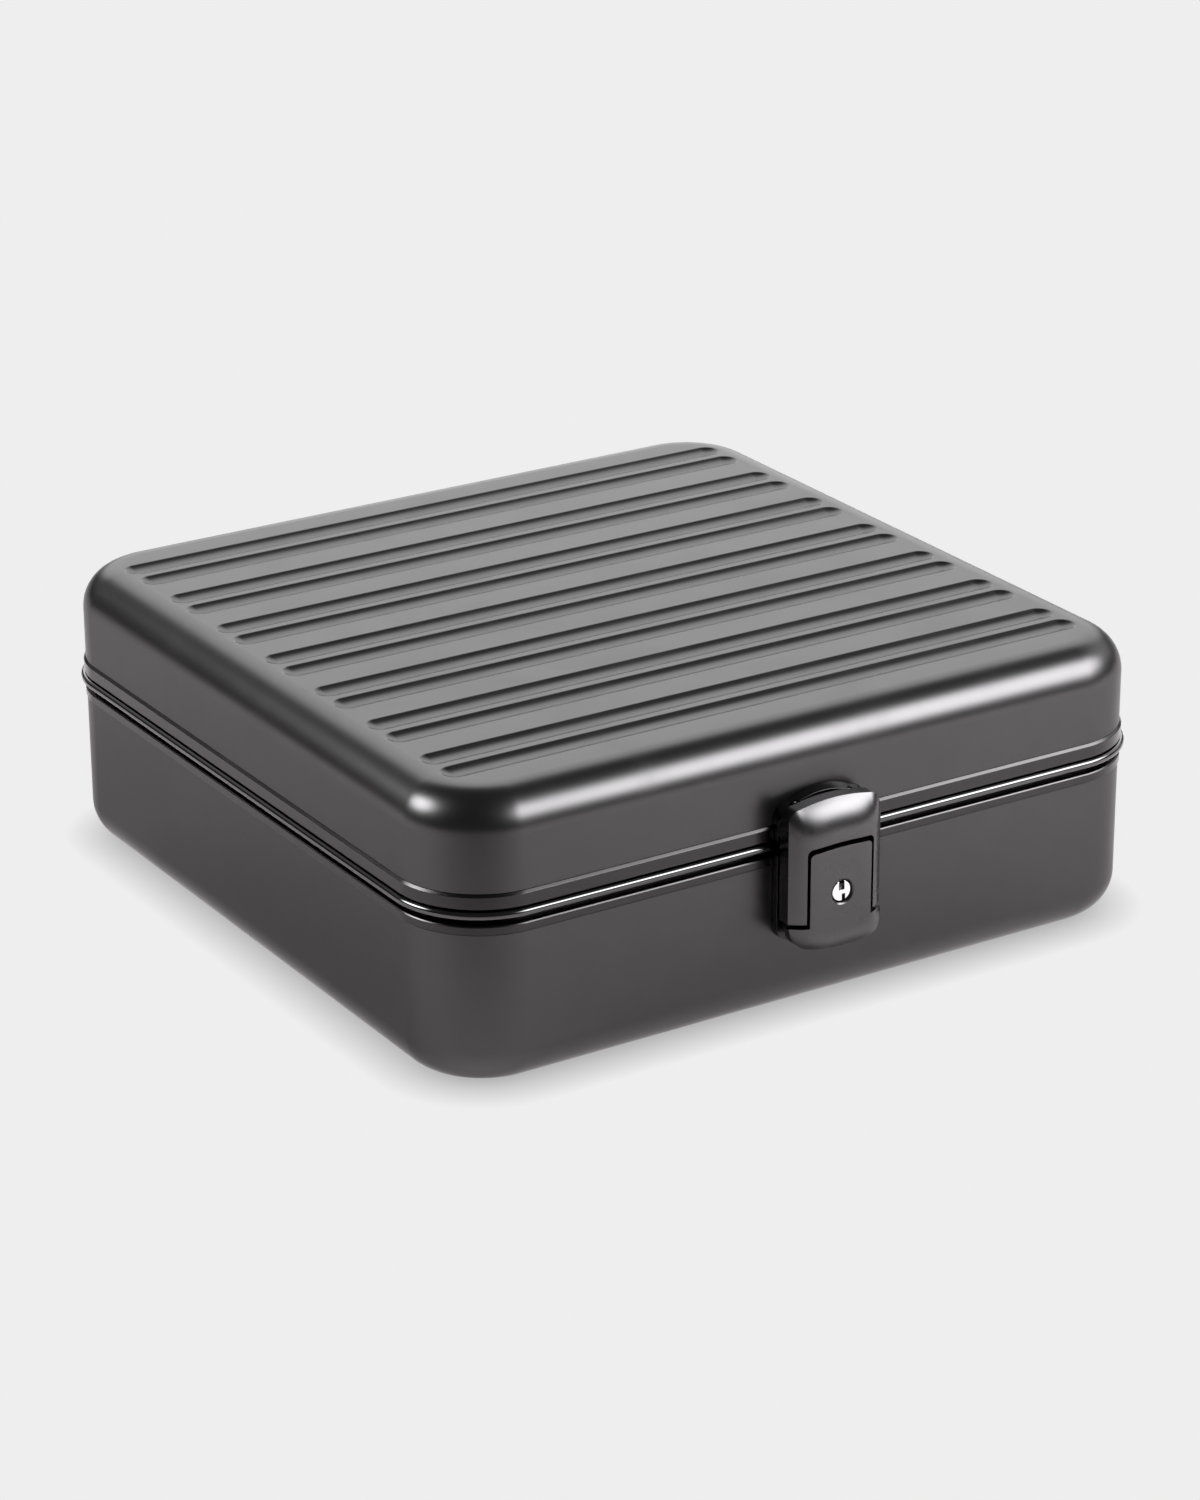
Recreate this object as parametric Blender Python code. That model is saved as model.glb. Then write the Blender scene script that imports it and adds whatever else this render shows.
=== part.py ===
"""Lockable aluminium vanity case with a draw latch, as separate solids.

Units are metres, +Z is up. The origin is the centre of the flat underside.
The latch is on the -Y front, the hinges are on the +Y back, X runs along the front.
"proud" is a distance out of the case's nominal wall, "inset" a distance into it.
"""
import math

import bmesh
import bpy
from mathutils import Matrix, Vector

# Case body
CASE_WIDTH = 0.270
CASE_DEPTH = 0.266
CASE_HEIGHT = 0.098
HALF_WIDTH = CASE_WIDTH / 2
HALF_DEPTH = CASE_DEPTH / 2
CORNER_RADIUS = 0.029
EDGE_FILLET = 0.0135
SHEET = 0.0015
GAP = 0.0003
CORNER_STEPS = 6
FILLET_STEPS = 5

# Stiffening grooves pressed into the lid, in pairs
GROOVE_PAIRS = 7
GROOVE_PAIR_PITCH = 0.0333
GROOVE_SPACING = 0.0122
GROOVE_HALF_LENGTH = 0.1208
GROOVE_HALF_WIDTH = 0.0048
GROOVE_WAIST_HALF_WIDTH = 0.0034
GROOVE_FLOOR_HALF_WIDTH = 0.0014
GROOVE_DEPTH = 0.0014
GROOVE_END_STEPS = 5
BEAD_WALL = 0.0010

# Rims and the bead between them, heights from the underside
BASE_RIM_BOTTOM = 0.0534
BASE_RIM_TOP = 0.0563
BASE_RIM_PROUD = 0.00045
RIM_RECESS = 0.0022
SEAL_BOTTOM = 0.0586
SEAL_TOP = 0.0614
SEAL_PROUD = 0.0019
SEAL_BACK = 0.0032
TONGUE_TOP = 0.0645
TONGUE_FRONT = 0.0035
TONGUE_BACK = 0.0050
LID_RIM_BOTTOM = 0.0618
LID_RIM_TOP = 0.0667
LID_RIM_PROUD = 0.0007
LID_RIM_BACK = 0.0030
RIM_LEG_FRONT = SHEET + GAP
RIM_LEG_BACK = 0.0033
RIM_LEG_LENGTH = 0.0018
LID_LEG_LENGTH = 0.0033
RIM_EDGE = 0.0004

# Lining, pad and mirror
LINER = 0.0012
LINER_INSET = 0.0036
LINER_FILLET = 0.0100
LINER_FLOOR = SHEET + GAP
LINER_CEILING = 0.0943
PAD_MARGIN = 0.0145
PAD_CORNER = 0.0150
PAD_EDGE = 0.0040
PAD_CROWN = 0.0058
PAD_DRAW_IN = 0.0012
PAD_SIDE_STEPS = 5
PAD_SLOPE_INSET = 0.0080
PAD_CROWN_INSET = 0.0140
MIRROR_HALF_X = 0.1050
MIRROR_HALF_Y = 0.1030
MIRROR_CORNER = 0.0120
MIRROR_FRAME_DEPTH = 0.0030
MIRROR_FRAME_WIDTH = 0.0060
MIRROR_LIP = 0.0015
MIRROR_LIP_DEPTH = 0.0008
MIRROR_GLASS = 0.0016

# Latch, distances proud of the front wall and heights from the underside
LATCH_HALF_WIDTH = 0.0178
LATCH_CROWN = 0.0142
LATCH_EDGE_DROP = 0.0048
LATCH_CROWN_POWER = 4
FOOT_CORNER = 0.0050
HASP_CORNER = 0.0042
PLATE_CORNER = 0.0050
LATCH_CORNER_STEPS = 4
LATCH_ARC_STEPS = 4
LEVER_TOP = 0.0605
LEVER_HALF_WIDTH = 0.0116
LEVER_WALL = 0.0020
LEVER_BACK = 0.0050
LEVER_FACE_BACK = 0.0115
FOOT_TOP = 0.0349
FOOT_BOTTOM = 0.0274
FOOT_BACK = 0.0075
FOOT_ARC_DROP = 0.0009
HASP_TOP = 0.0758
HASP_ARC_DROP = 0.0014
HASP_ARM_END = 0.0365
HASP_BACK = 0.0046
HASP_LIP = 0.0032
HASP_LIP_DROP = 0.0028
HASP_LIP_HEIGHT = 0.0019
HASP_HEAD = 0.0090
HASP_ROLL = 0.0177
HASP_ROLL_STEPS = 5
WINDOW_HALF_WIDTH = 0.0126
WINDOW_TOP = 0.0624
HASP_POCKET_HALF_WIDTH = 0.0134
HASP_POCKET_TOP = 0.0660
HASP_POCKET_FRONT = 0.0113
LATCH_PIVOT_PROUD = 0.0070
LEVER_PIVOT_Z = 0.0572
HASP_PIVOT_Z = 0.0500
LATCH_PIN = 0.0010
LATCH_HOLE = 0.00135
LATCH_PIN_HALF_LENGTH = 0.0111
HASP_PIN_START = 0.0090
HASP_PIN_END = 0.0158
HASP_HOLE_END = 0.0162

# Plates behind the latch
PLATE_HALF_WIDTH = 0.0171
PLATE_FACE = 0.0028
PLATE_BOTTOM = 0.0262
PLATE_TOP = 0.0574
PLATE_ARC_DROP = 0.0014
PLATE_RELIEF = 0.0008
EAR_INNER = 0.0070
EAR_OUTER = 0.0088
EAR_RADIUS = 0.0024
EAR_ARC_START = -50
EAR_ARC_END = 130
EAR_STEPS = 6
KEEPER_TOP = 0.0774
KEEPER_BOTTOM = 0.0622
KEEPER_ARC_DROP = 0.0030
KEEPER_RELIEF = 0.00105
KEEPER_SLOPE = 0.0015
KEEPER_SINK = 0.0012
CATCH_HALF_WIDTH = 0.0068
CATCH_LOW = 0.0702
CATCH_HIGH = 0.0724
CATCH_FLOOR = 0.0015

# Key lock in the lever
LOCK_Z = 0.0455
LOCK_HOLE = 0.00395
BEZEL_OUTER = 0.00365
BEZEL_INNER = 0.00275
BEZEL_FACE = 0.0126
BEZEL_BACK = 0.0112
BEZEL_EDGE = 0.0002
PLUG_FLANGE_RADIUS = 0.0035
PLUG_FLANGE_BACK = 0.0129
PLUG_RADIUS = 0.00245
PLUG_FACE = 0.0136
PLUG_BACK = 0.0066
PLUG_TAIL_RADIUS = 0.0012
PLUG_TAIL_END = 0.0042
KEYWAY_HALF_WIDTH = 0.0011
KEYWAY_START = 0.0003
KEYWAY_REACH = 0.0040
KEYWAY_FLOOR = 0.0112
WARD_LEFT = 0.0001
WARD_RIGHT = 0.0014
WARD_START = 0.0011
CAM_HALF_WIDTH = 0.0020
CAM_REACH = 0.0065
CAM_TAIL = 0.0022
CAM_FRONT = 0.0062
CAM_BACK = 0.0045
CAM_HOLE = 0.0015

# Hinges on the back wall
HINGE_X = 0.075
HINGE_PROUD = 0.0046
HINGE_Z = 0.0618
HINGE_HALF_WIDTH = 0.020
KNUCKLE_RADIUS = 0.0026
KNUCKLE_HALF = 0.0065
KNUCKLE_GAP = 0.0002
KNUCKLE_TANGENT = 0.0022
KNUCKLE_ROOT = 0.0016
HINGE_PIN = 0.0011
HINGE_HOLE = 0.00145
HINGE_PIN_HEAD = 0.0019
HINGE_PIN_HALF_LENGTH = 0.0203
HINGE_HEAD_LENGTH = 0.0010
LEAF_FOOT = 0.0355
LEAF_HEAD = 0.0835
BASE_LEAF_FACE = 0.0019
LID_LEAF_FACE = 0.0023
LEAF_NOTCH_LOW = 0.0575
LEAF_NOTCH_HIGH = 0.0668

# Rivets
RIVET_SHANK = 0.0012
RIVET_HOLE = 0.0015
RIVET_HEAD = 0.0020
RIVET_HEAD_HEIGHT = 0.0009
RIVET_TAIL = 0.0018
RIVET_TAIL_HEIGHT = 0.0010
RIVET_STEPS = 8
LEAF_RIVET_X = 0.013
BASE_LEAF_RIVET_Z = 0.0420
LID_LEAF_RIVET_Z = 0.0775
PLATE_RIVET_X = 0.0060
PLATE_RIVET_Z = (0.0370, 0.0490)
KEEPER_RIVET_X = 0.0100
KEEPER_RIVET_Z = 0.0720
COUNTERSINK = 0.0022

ROUND_STEPS = 16
PIN_STEPS = 12
CUT_MARGIN = 0.002
SHARP_ANGLE = math.radians(35)
AXIS_X = Vector((1, 0, 0))
AXIS_Y = Vector((0, 1, 0))

# Colour, roughness and metallic value of each finish
FINISHES = {
    "satin_black_aluminium": ((0.035, 0.034, 0.035), 0.38, 0.9),
    "black_rim": ((0.030, 0.029, 0.030), 0.30, 0.9),
    "gloss_seal": ((0.006, 0.006, 0.007), 0.12, 0.0),
    "latch_black": ((0.030, 0.030, 0.031), 0.32, 0.6),
    "lock_chrome": ((0.80, 0.80, 0.80), 0.12, 1.0),
    "pin_steel": ((0.45, 0.45, 0.46), 0.30, 1.0),
    "hinge_black": ((0.025, 0.025, 0.026), 0.35, 0.8),
    "liner_fabric": ((0.030, 0.030, 0.033), 0.95, 0.0),
    "pad_fabric": ((0.040, 0.039, 0.042), 0.95, 0.0),
    "mirror_frame": ((0.020, 0.020, 0.021), 0.40, 0.0),
    "mirror_glass": ((0.85, 0.86, 0.87), 0.02, 1.0),
}


def clear_scene():
    """Remove every object that is already there."""
    for item in list(bpy.data.objects):
        bpy.data.objects.remove(item, do_unlink=True)


def finish_material(name, finish):
    """Make a sub-part's own material in the named finish."""
    color, roughness, metallic = FINISHES[finish]
    material = bpy.data.materials.new(f"{name}_{finish}")
    material.use_nodes = True
    shader = material.node_tree.nodes["Principled BSDF"]
    shader.inputs["Base Color"].default_value = (*color, 1)
    shader.inputs["Roughness"].default_value = roughness
    shader.inputs["Metallic"].default_value = metallic
    return material


def make_object(bm, name, finish=None):
    """Turn a bmesh into an object with outward faces."""
    bmesh.ops.recalc_face_normals(bm, faces=bm.faces)
    mesh = bpy.data.meshes.new(name)
    bm.to_mesh(mesh)
    bm.free()
    item = bpy.data.objects.new(name, mesh)
    bpy.context.collection.objects.link(item)
    if finish:
        mesh.materials.append(finish_material(name, finish))
    return item


def add_loft(bm, rings, closed=False):
    """Skin a row of rings with equal counts; an open row gets flat caps."""
    loops = [[bm.verts.new(point) for point in ring] for ring in rings]
    pairs = list(zip(loops, loops[1:]))
    if closed:
        pairs.append((loops[-1], loops[0]))
    for lower, upper in pairs:
        for i, corner in enumerate(lower):
            j = (i + 1) % len(lower)
            bm.faces.new((corner, lower[j], upper[j], upper[i]))
    if not closed:
        bm.faces.new(loops[0])
        bm.faces.new(loops[-1])


def loft_object(name, rings, finish=None, closed=False):
    """Make one object from one loft."""
    bm = bmesh.new()
    add_loft(bm, rings, closed)
    return make_object(bm, name, finish)


def carve(target, cutter, operation="DIFFERENCE"):
    """Apply a Boolean to the target and remove the cutter."""
    cutter.hide_render = True
    cutter.display_type = "WIRE"
    modifier = target.modifiers.new("carve", "BOOLEAN")
    modifier.operation = operation
    modifier.solver = "EXACT"
    modifier.object = cutter
    evaluated = target.evaluated_get(bpy.context.evaluated_depsgraph_get())
    mesh = bpy.data.meshes.new_from_object(evaluated)
    target.modifiers.clear()
    mesh.name = target.name
    target.data = mesh
    bpy.data.objects.remove(cutter, do_unlink=True)


def arc(center, radius, start, end, steps):
    """Points of an arc in a plane, angles in degrees."""
    points = []
    for step in range(steps + 1):
        angle = math.radians(start + (end - start) * step / steps)
        points.append((center[0] + radius * math.cos(angle), center[1] + radius * math.sin(angle)))
    return points


def rounded_ring(inset, z, half_x=HALF_WIDTH, half_y=HALF_DEPTH, radius=CORNER_RADIUS):
    """A rounded rectangle moved in by inset, at height z."""
    corner = radius - inset
    points = []
    for quarter, (side_x, side_y) in enumerate(((1, 1), (-1, 1), (-1, -1), (1, -1))):
        center = (side_x * (half_x - radius), side_y * (half_y - radius))
        points += arc(center, corner, 90 * quarter, 90 * quarter + 90, CORNER_STEPS)
    return [Vector((x, y, z)) for x, y in points]


def swept_rings(profile):
    """Rings of a profile of (inset, z) points carried round the case."""
    return [rounded_ring(inset, z) for inset, z in profile]


def circle_ring(center, axis, radius, steps):
    """A circle of points around an axis."""
    turn = axis.to_track_quat("Z", "Y").to_matrix()
    flat = arc((0, 0), radius, 0, 360 * (steps - 1) / steps, steps - 1)
    return [center + turn @ Vector((x, y, 0)) for x, y in flat]


def turned_rings(profile, origin, axis, steps=ROUND_STEPS):
    """Rings of a turned profile of (radius, distance along axis) points."""
    return [circle_ring(origin + axis * along, axis, radius, steps) for radius, along in profile]


def round_cutter(origin, axis, radius, start, end, steps=PIN_STEPS):
    """A cylinder along an axis, for holes."""
    rings = turned_rings([(radius, start), (radius, end)], origin, axis, steps)
    return loft_object("hole_cutter", rings)


def box_cutter(low, high):
    """A box between two corners, for cuts."""
    bm = bmesh.new()
    bmesh.ops.create_cube(bm, size=1)
    size = Vector(high) - Vector(low)
    center = (Vector(high) + Vector(low)) / 2
    bmesh.ops.transform(bm, verts=bm.verts, matrix=Matrix.Translation(center) @ Matrix.Diagonal((*size, 1)))
    return make_object(bm, "box_cutter")


def front_point(x, proud, z):
    """A point of the latch side."""
    return Vector((x, -HALF_DEPTH - proud, z))


def back_point(x, proud, z):
    """A point of the hinge side."""
    return Vector((x, HALF_DEPTH + proud, z))


def front_box(x_low, x_high, proud_low, proud_high, z_low, z_high):
    """A box cutter in latch-side distances."""
    y_low = -HALF_DEPTH - proud_high
    y_high = -HALF_DEPTH - proud_low
    return box_cutter((x_low, y_low, z_low), (x_high, y_high, z_high))


def shell_profile(fillet_z, wall_end, up):
    """Profile of a pressed half-case from its outer face, over the rim edge, to its inner face."""
    outer = []
    inner = []
    for inset, rise in arc((0, 0), 1, 90, 0, FILLET_STEPS):
        outer.append((EDGE_FILLET - EDGE_FILLET * inset, fillet_z + up * EDGE_FILLET * rise))
        bend = EDGE_FILLET - SHEET
        inner.append((EDGE_FILLET - bend * inset, fillet_z + up * bend * rise))
    edge = [(0, wall_end), (SHEET, wall_end)]
    return outer + edge + inner[::-1]


def liner_profile(flat_z, wall_end, up):
    """Profile of a lining tray, from its outer face to its inner face."""
    center_inset = LINER_INSET + LINER_FILLET
    center_z = flat_z - up * LINER_FILLET
    outer = []
    inner = []
    for inset, rise in arc((0, 0), 1, 90, 0, FILLET_STEPS):
        outer.append((center_inset - LINER_FILLET * inset, center_z + up * LINER_FILLET * rise))
        bend = LINER_FILLET - LINER
        inner.append((center_inset - bend * inset, center_z + up * bend * rise))
    edge = [(LINER_INSET, wall_end), (LINER_INSET + LINER, wall_end)]
    return outer + edge + inner[::-1]


def groove_centers():
    """Y of every groove, pair by pair."""
    middle = (GROOVE_PAIRS - 1) / 2
    for pair in range(GROOVE_PAIRS):
        for side in (-0.5, 0.5):
            yield (pair - middle) * GROOVE_PAIR_PITCH + side * GROOVE_SPACING


def slot_ring(y, half_width, z):
    """A slot outline with round ends."""
    end_x = GROOVE_HALF_LENGTH - GROOVE_HALF_WIDTH
    right = arc((end_x, y), half_width, -90, 90, GROOVE_END_STEPS)
    left = arc((-end_x, y), half_width, 90, 270, GROOVE_END_STEPS)
    return [Vector((px, py, z)) for px, py in right + left]


def groove_bodies(name, levels):
    """One slot-shaped body per groove from (half width, z) levels."""
    bm = bmesh.new()
    for y in groove_centers():
        add_loft(bm, [slot_ring(y, half_width, z) for half_width, z in levels])
    return make_object(bm, name)


def rivet_places(z_values, x_values):
    """X and Z of each rivet in a block of rivets."""
    return [(x, z) for z in z_values for x in x_values]


def hinge_rivet_x():
    """X of the rivets in both hinge leaves."""
    return [side * HINGE_X + offset * LEAF_RIVET_X for side in (-1, 1) for offset in (-1, 1)]


def drill(target, places, point, radius=RIVET_HOLE, depth=HINGE_PROUD):
    """Drill rivet holes along Y at each place of one wall."""
    for x, z in places:
        center = point(x, 0, z)
        carve(target, round_cutter(center, AXIS_Y, radius, -depth, depth, RIVET_STEPS))


def rivet_row(name, places, point, head_seat):
    """Domed rivets, numbered from 1, through a plate and the sheet behind it."""
    head = head_seat + GAP
    tail = -SHEET - GAP
    profile = [
        (RIVET_SHANK, head + RIVET_HEAD_HEIGHT),
        (RIVET_HEAD, head + RIVET_HEAD_HEIGHT / 2),
        (RIVET_HEAD, head),
        (RIVET_SHANK, head),
        (RIVET_SHANK, tail),
        (RIVET_TAIL, tail),
        (RIVET_TAIL, tail - RIVET_TAIL_HEIGHT),
    ]
    for number, (x, z) in enumerate(places, start=1):
        outward = (point(x, 1, z) - point(x, 0, z)).normalized()
        rings = turned_rings(profile, point(x, 0, z), outward, RIVET_STEPS)
        loft_object(f"{name}_{number}", rings, "pin_steel")


def outline_sag(x, drop, half_width, corner):
    """How far a latch outline has left its crown at x: a shallow arc, then a round corner."""
    corner_start = half_width - corner
    flat_x = min(abs(x), corner_start)
    radius = (corner_start ** 2 + drop ** 2) / (2 * drop)
    sag = radius - math.sqrt(radius ** 2 - flat_x ** 2)
    past = max(abs(x) - corner_start, 0)
    return sag + corner - math.sqrt(max(corner ** 2 - past ** 2, 0))


def latch_stations(half_width, corner):
    """X stations across the latch, closer together in the round corners."""
    corner_start = half_width - corner
    right = [corner_start * step / LATCH_ARC_STEPS for step in range(LATCH_ARC_STEPS)]
    for step in range(LATCH_CORNER_STEPS + 1):
        right.append(corner_start + corner * math.sin(math.pi / 2 * step / LATCH_CORNER_STEPS))
    return [-x for x in right[:0:-1]] + right


def latch_face(x):
    """How proud the crowned latch front is at x: flat in the middle, falling away at the sides."""
    return LATCH_CROWN - LATCH_EDGE_DROP * (abs(x) / LATCH_HALF_WIDTH) ** LATCH_CROWN_POWER


def section_loft(name, half_width, corner, section):
    """Loft (proud, z) sections, one for each X station of a latch piece."""
    rings = []
    for x in latch_stations(half_width, corner):
        rings.append([front_point(x, proud, z) for proud, z in section(x)])
    return loft_object(name, rings, "latch_black")


def build_base():
    """Base shell, its rim, the bead on the rim, the lining and the floor pad."""
    shell = loft_object(
        "base_shell",
        swept_rings(shell_profile(EDGE_FILLET, BASE_RIM_BOTTOM - GAP, -1)),
        "satin_black_aluminium",
    )
    drill(shell, rivet_places([BASE_LEAF_RIVET_Z], hinge_rivet_x()), back_point)
    drill(shell, rivet_places(PLATE_RIVET_Z, (-PLATE_RIVET_X, PLATE_RIVET_X)), front_point)

    seat = SEAL_BOTTOM - GAP
    rim_profile = [
        (-BASE_RIM_PROUD, BASE_RIM_BOTTOM),
        (-BASE_RIM_PROUD, BASE_RIM_TOP - RIM_EDGE),
        (0, BASE_RIM_TOP),
        (RIM_RECESS, BASE_RIM_TOP),
        (RIM_RECESS, seat),
        (TONGUE_FRONT, seat),
        (TONGUE_FRONT, TONGUE_TOP - RIM_EDGE),
        (TONGUE_FRONT + RIM_EDGE, TONGUE_TOP),
        (TONGUE_BACK, TONGUE_TOP),
        (TONGUE_BACK, BASE_RIM_TOP),
        (RIM_LEG_BACK, BASE_RIM_TOP),
        (RIM_LEG_BACK, BASE_RIM_BOTTOM - RIM_LEG_LENGTH),
        (RIM_LEG_FRONT, BASE_RIM_BOTTOM - RIM_LEG_LENGTH),
        (RIM_LEG_FRONT, BASE_RIM_BOTTOM),
    ]
    loft_object("base_rim", swept_rings(rim_profile), "black_rim", closed=True)

    nose = (SEAL_TOP - SEAL_BOTTOM) / 2
    nose_center = (nose - SEAL_PROUD, (SEAL_TOP + SEAL_BOTTOM) / 2)
    seal_profile = arc(nose_center, nose, 90, 270, FILLET_STEPS)
    seal_profile += [(SEAL_BACK, SEAL_BOTTOM), (SEAL_BACK, SEAL_TOP)]
    loft_object("rim_seal", swept_rings(seal_profile), "gloss_seal", closed=True)

    liner_top = BASE_RIM_TOP - GAP
    loft_object("base_liner", swept_rings(liner_profile(LINER_FLOOR, liner_top, -1)), "liner_fabric")
    build_floor_pad()


def pad_ring(inset, z):
    """An outline of the floor pad, with its sides drawn in between the corners."""
    half_x = HALF_WIDTH - PAD_MARGIN
    half_y = HALF_DEPTH - PAD_MARGIN
    corners = rounded_ring(inset, z, half_x, half_y, PAD_CORNER)
    points = []
    for i, point in enumerate(corners):
        points.append(point)
        following = corners[(i + 1) % len(corners)]
        if (i + 1) % (CORNER_STEPS + 1):
            continue
        inward = (following - point).cross(Vector((0, 0, -1))).normalized()
        for step in range(1, PAD_SIDE_STEPS):
            share = step / PAD_SIDE_STEPS
            draw = PAD_DRAW_IN * math.sin(math.pi * share)
            points.append(point.lerp(following, share) - inward * draw)
    return points


def build_floor_pad():
    """Crowned pad on the floor of the base."""
    floor = LINER_FLOOR + LINER + GAP
    middle = floor + PAD_EDGE / 2
    shoulder = floor + PAD_EDGE
    crown = floor + PAD_CROWN
    levels = [
        (PAD_EDGE / 2, floor),
        (0, middle),
        (PAD_EDGE / 3, shoulder),
        (PAD_SLOPE_INSET, (shoulder + crown) / 2),
        (PAD_CROWN_INSET, crown),
    ]
    loft_object("base_floor_pad", [pad_ring(inset, z) for inset, z in levels], "pad_fabric")


def build_lid():
    """Lid shell with pressed grooves, its rim, lining and mirror."""
    profile = shell_profile(CASE_HEIGHT - EDGE_FILLET, LID_RIM_TOP + GAP, 1)
    shell = loft_object("lid_shell", swept_rings(profile), "satin_black_aluminium")
    ceiling = CASE_HEIGHT - SHEET
    bead_levels = [
        (GROOVE_HALF_WIDTH + BEAD_WALL, ceiling + SHEET / 2),
        (GROOVE_FLOOR_HALF_WIDTH + BEAD_WALL, ceiling - GROOVE_DEPTH),
    ]
    carve(shell, groove_bodies("bead_bodies", bead_levels), "UNION")
    waist = GROOVE_DEPTH / 2
    slope = (GROOVE_HALF_WIDTH - GROOVE_WAIST_HALF_WIDTH) / waist
    groove_levels = [
        (GROOVE_HALF_WIDTH + slope * GAP, CASE_HEIGHT + GAP),
        (GROOVE_WAIST_HALF_WIDTH, CASE_HEIGHT - waist),
        (GROOVE_FLOOR_HALF_WIDTH, CASE_HEIGHT - GROOVE_DEPTH),
    ]
    carve(shell, groove_bodies("groove_bodies", groove_levels))
    drill(shell, rivet_places([LID_LEAF_RIVET_Z], hinge_rivet_x()), back_point)
    drill(shell, rivet_places([KEEPER_RIVET_Z], (-KEEPER_RIVET_X, KEEPER_RIVET_X)), front_point)

    rim_profile = [
        (-LID_RIM_PROUD, LID_RIM_BOTTOM),
        (-LID_RIM_PROUD, LID_RIM_TOP - RIM_EDGE),
        (RIM_EDGE - LID_RIM_PROUD, LID_RIM_TOP),
        (RIM_LEG_FRONT, LID_RIM_TOP),
        (RIM_LEG_FRONT, LID_RIM_TOP + LID_LEG_LENGTH),
        (LID_RIM_BACK, LID_RIM_TOP + LID_LEG_LENGTH),
        (LID_RIM_BACK, LID_RIM_BOTTOM),
    ]
    loft_object("lid_rim", swept_rings(rim_profile), "black_rim", closed=True)
    liner_edge = TONGUE_TOP + 2 * GAP
    loft_object("lid_liner", swept_rings(liner_profile(LINER_CEILING, liner_edge, 1)), "liner_fabric")
    build_mirror()


def mirror_ring(inset, z):
    """An outline of the mirror, moved in by inset."""
    return rounded_ring(inset, z, MIRROR_HALF_X, MIRROR_HALF_Y, MIRROR_CORNER)


def build_mirror():
    """Mirror and the lipped frame that holds it under the lid."""
    top = LINER_CEILING - LINER - GAP
    bottom = top - MIRROR_FRAME_DEPTH
    seat = MIRROR_FRAME_WIDTH - MIRROR_LIP
    frame_profile = [
        (0, top),
        (0, bottom),
        (MIRROR_FRAME_WIDTH, bottom),
        (MIRROR_FRAME_WIDTH, bottom + MIRROR_LIP_DEPTH),
        (seat, bottom + MIRROR_LIP_DEPTH),
        (seat, top),
    ]
    frame_rings = [mirror_ring(inset, z) for inset, z in frame_profile]
    loft_object("mirror_frame", frame_rings, "mirror_frame", closed=True)
    glass_low = bottom + MIRROR_LIP_DEPTH + GAP
    glass = [mirror_ring(seat + GAP, z) for z in (glass_low, glass_low + MIRROR_GLASS)]
    loft_object("mirror_glass", glass, "mirror_glass")


def lever_section(x):
    """Section of the latch lever's block at x."""
    low = FOOT_BOTTOM + outline_sag(x, FOOT_ARC_DROP, LATCH_HALF_WIDTH, FOOT_CORNER)
    face = latch_face(x)
    return [(LEVER_BACK, low), (face, low), (face, LEVER_TOP), (LEVER_BACK, LEVER_TOP)]


def build_lever():
    """T-shaped lever: a wide foot to pull on and a hollow upright on the pivot."""
    lever = section_loft("latch_lever", LATCH_HALF_WIDTH, FOOT_CORNER, lever_section)
    far = LATCH_HALF_WIDTH + CUT_MARGIN
    front = LATCH_CROWN + CUT_MARGIN
    above = LEVER_TOP + CUT_MARGIN
    behind = LEVER_BACK - CUT_MARGIN
    carve(lever, front_box(LEVER_HALF_WIDTH, far, behind, front, FOOT_TOP, above))
    carve(lever, front_box(-far, -LEVER_HALF_WIDTH, behind, front, FOOT_TOP, above))
    carve(lever, front_box(-far, far, behind, FOOT_BACK, FOOT_BOTTOM - CUT_MARGIN, FOOT_TOP))
    inner = LEVER_HALF_WIDTH - LEVER_WALL
    carve(lever, front_box(-inner, inner, behind, LEVER_FACE_BACK, FOOT_TOP + LEVER_WALL, above))
    carve(lever, round_cutter(front_point(0, 0, LOCK_Z), -AXIS_Y, LOCK_HOLE, 0, front, ROUND_STEPS))
    for pivot_z in (LEVER_PIVOT_Z, HASP_PIVOT_Z):
        axis_point = front_point(0, LATCH_PIVOT_PROUD, pivot_z)
        carve(lever, round_cutter(axis_point, AXIS_X, LATCH_HOLE, -far, far))


def hasp_section(x):
    """Section of the hasp's block at x: flat front, rolled head and a lip towards the lid."""
    face = latch_face(x)
    top = HASP_TOP - outline_sag(x, HASP_ARC_DROP, LATCH_HALF_WIDTH, HASP_CORNER)
    turn = math.acos(1 - (face - HASP_HEAD) / HASP_ROLL)
    roll_center = (face - HASP_ROLL, top - HASP_ROLL * math.sin(turn))
    lip_top = top - HASP_LIP_DROP
    lip_low = lip_top - HASP_LIP_HEIGHT
    reach = HASP_BACK - HASP_LIP
    section = [(HASP_BACK, HASP_ARM_END), (face, HASP_ARM_END)]
    section += arc(roll_center, HASP_ROLL, 0, math.degrees(turn), HASP_ROLL_STEPS)
    section += [(HASP_BACK, top), (HASP_BACK, lip_top + reach), (HASP_LIP, lip_top), (HASP_LIP, lip_low)]
    section.append((HASP_BACK, lip_low - reach))
    return section


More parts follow.
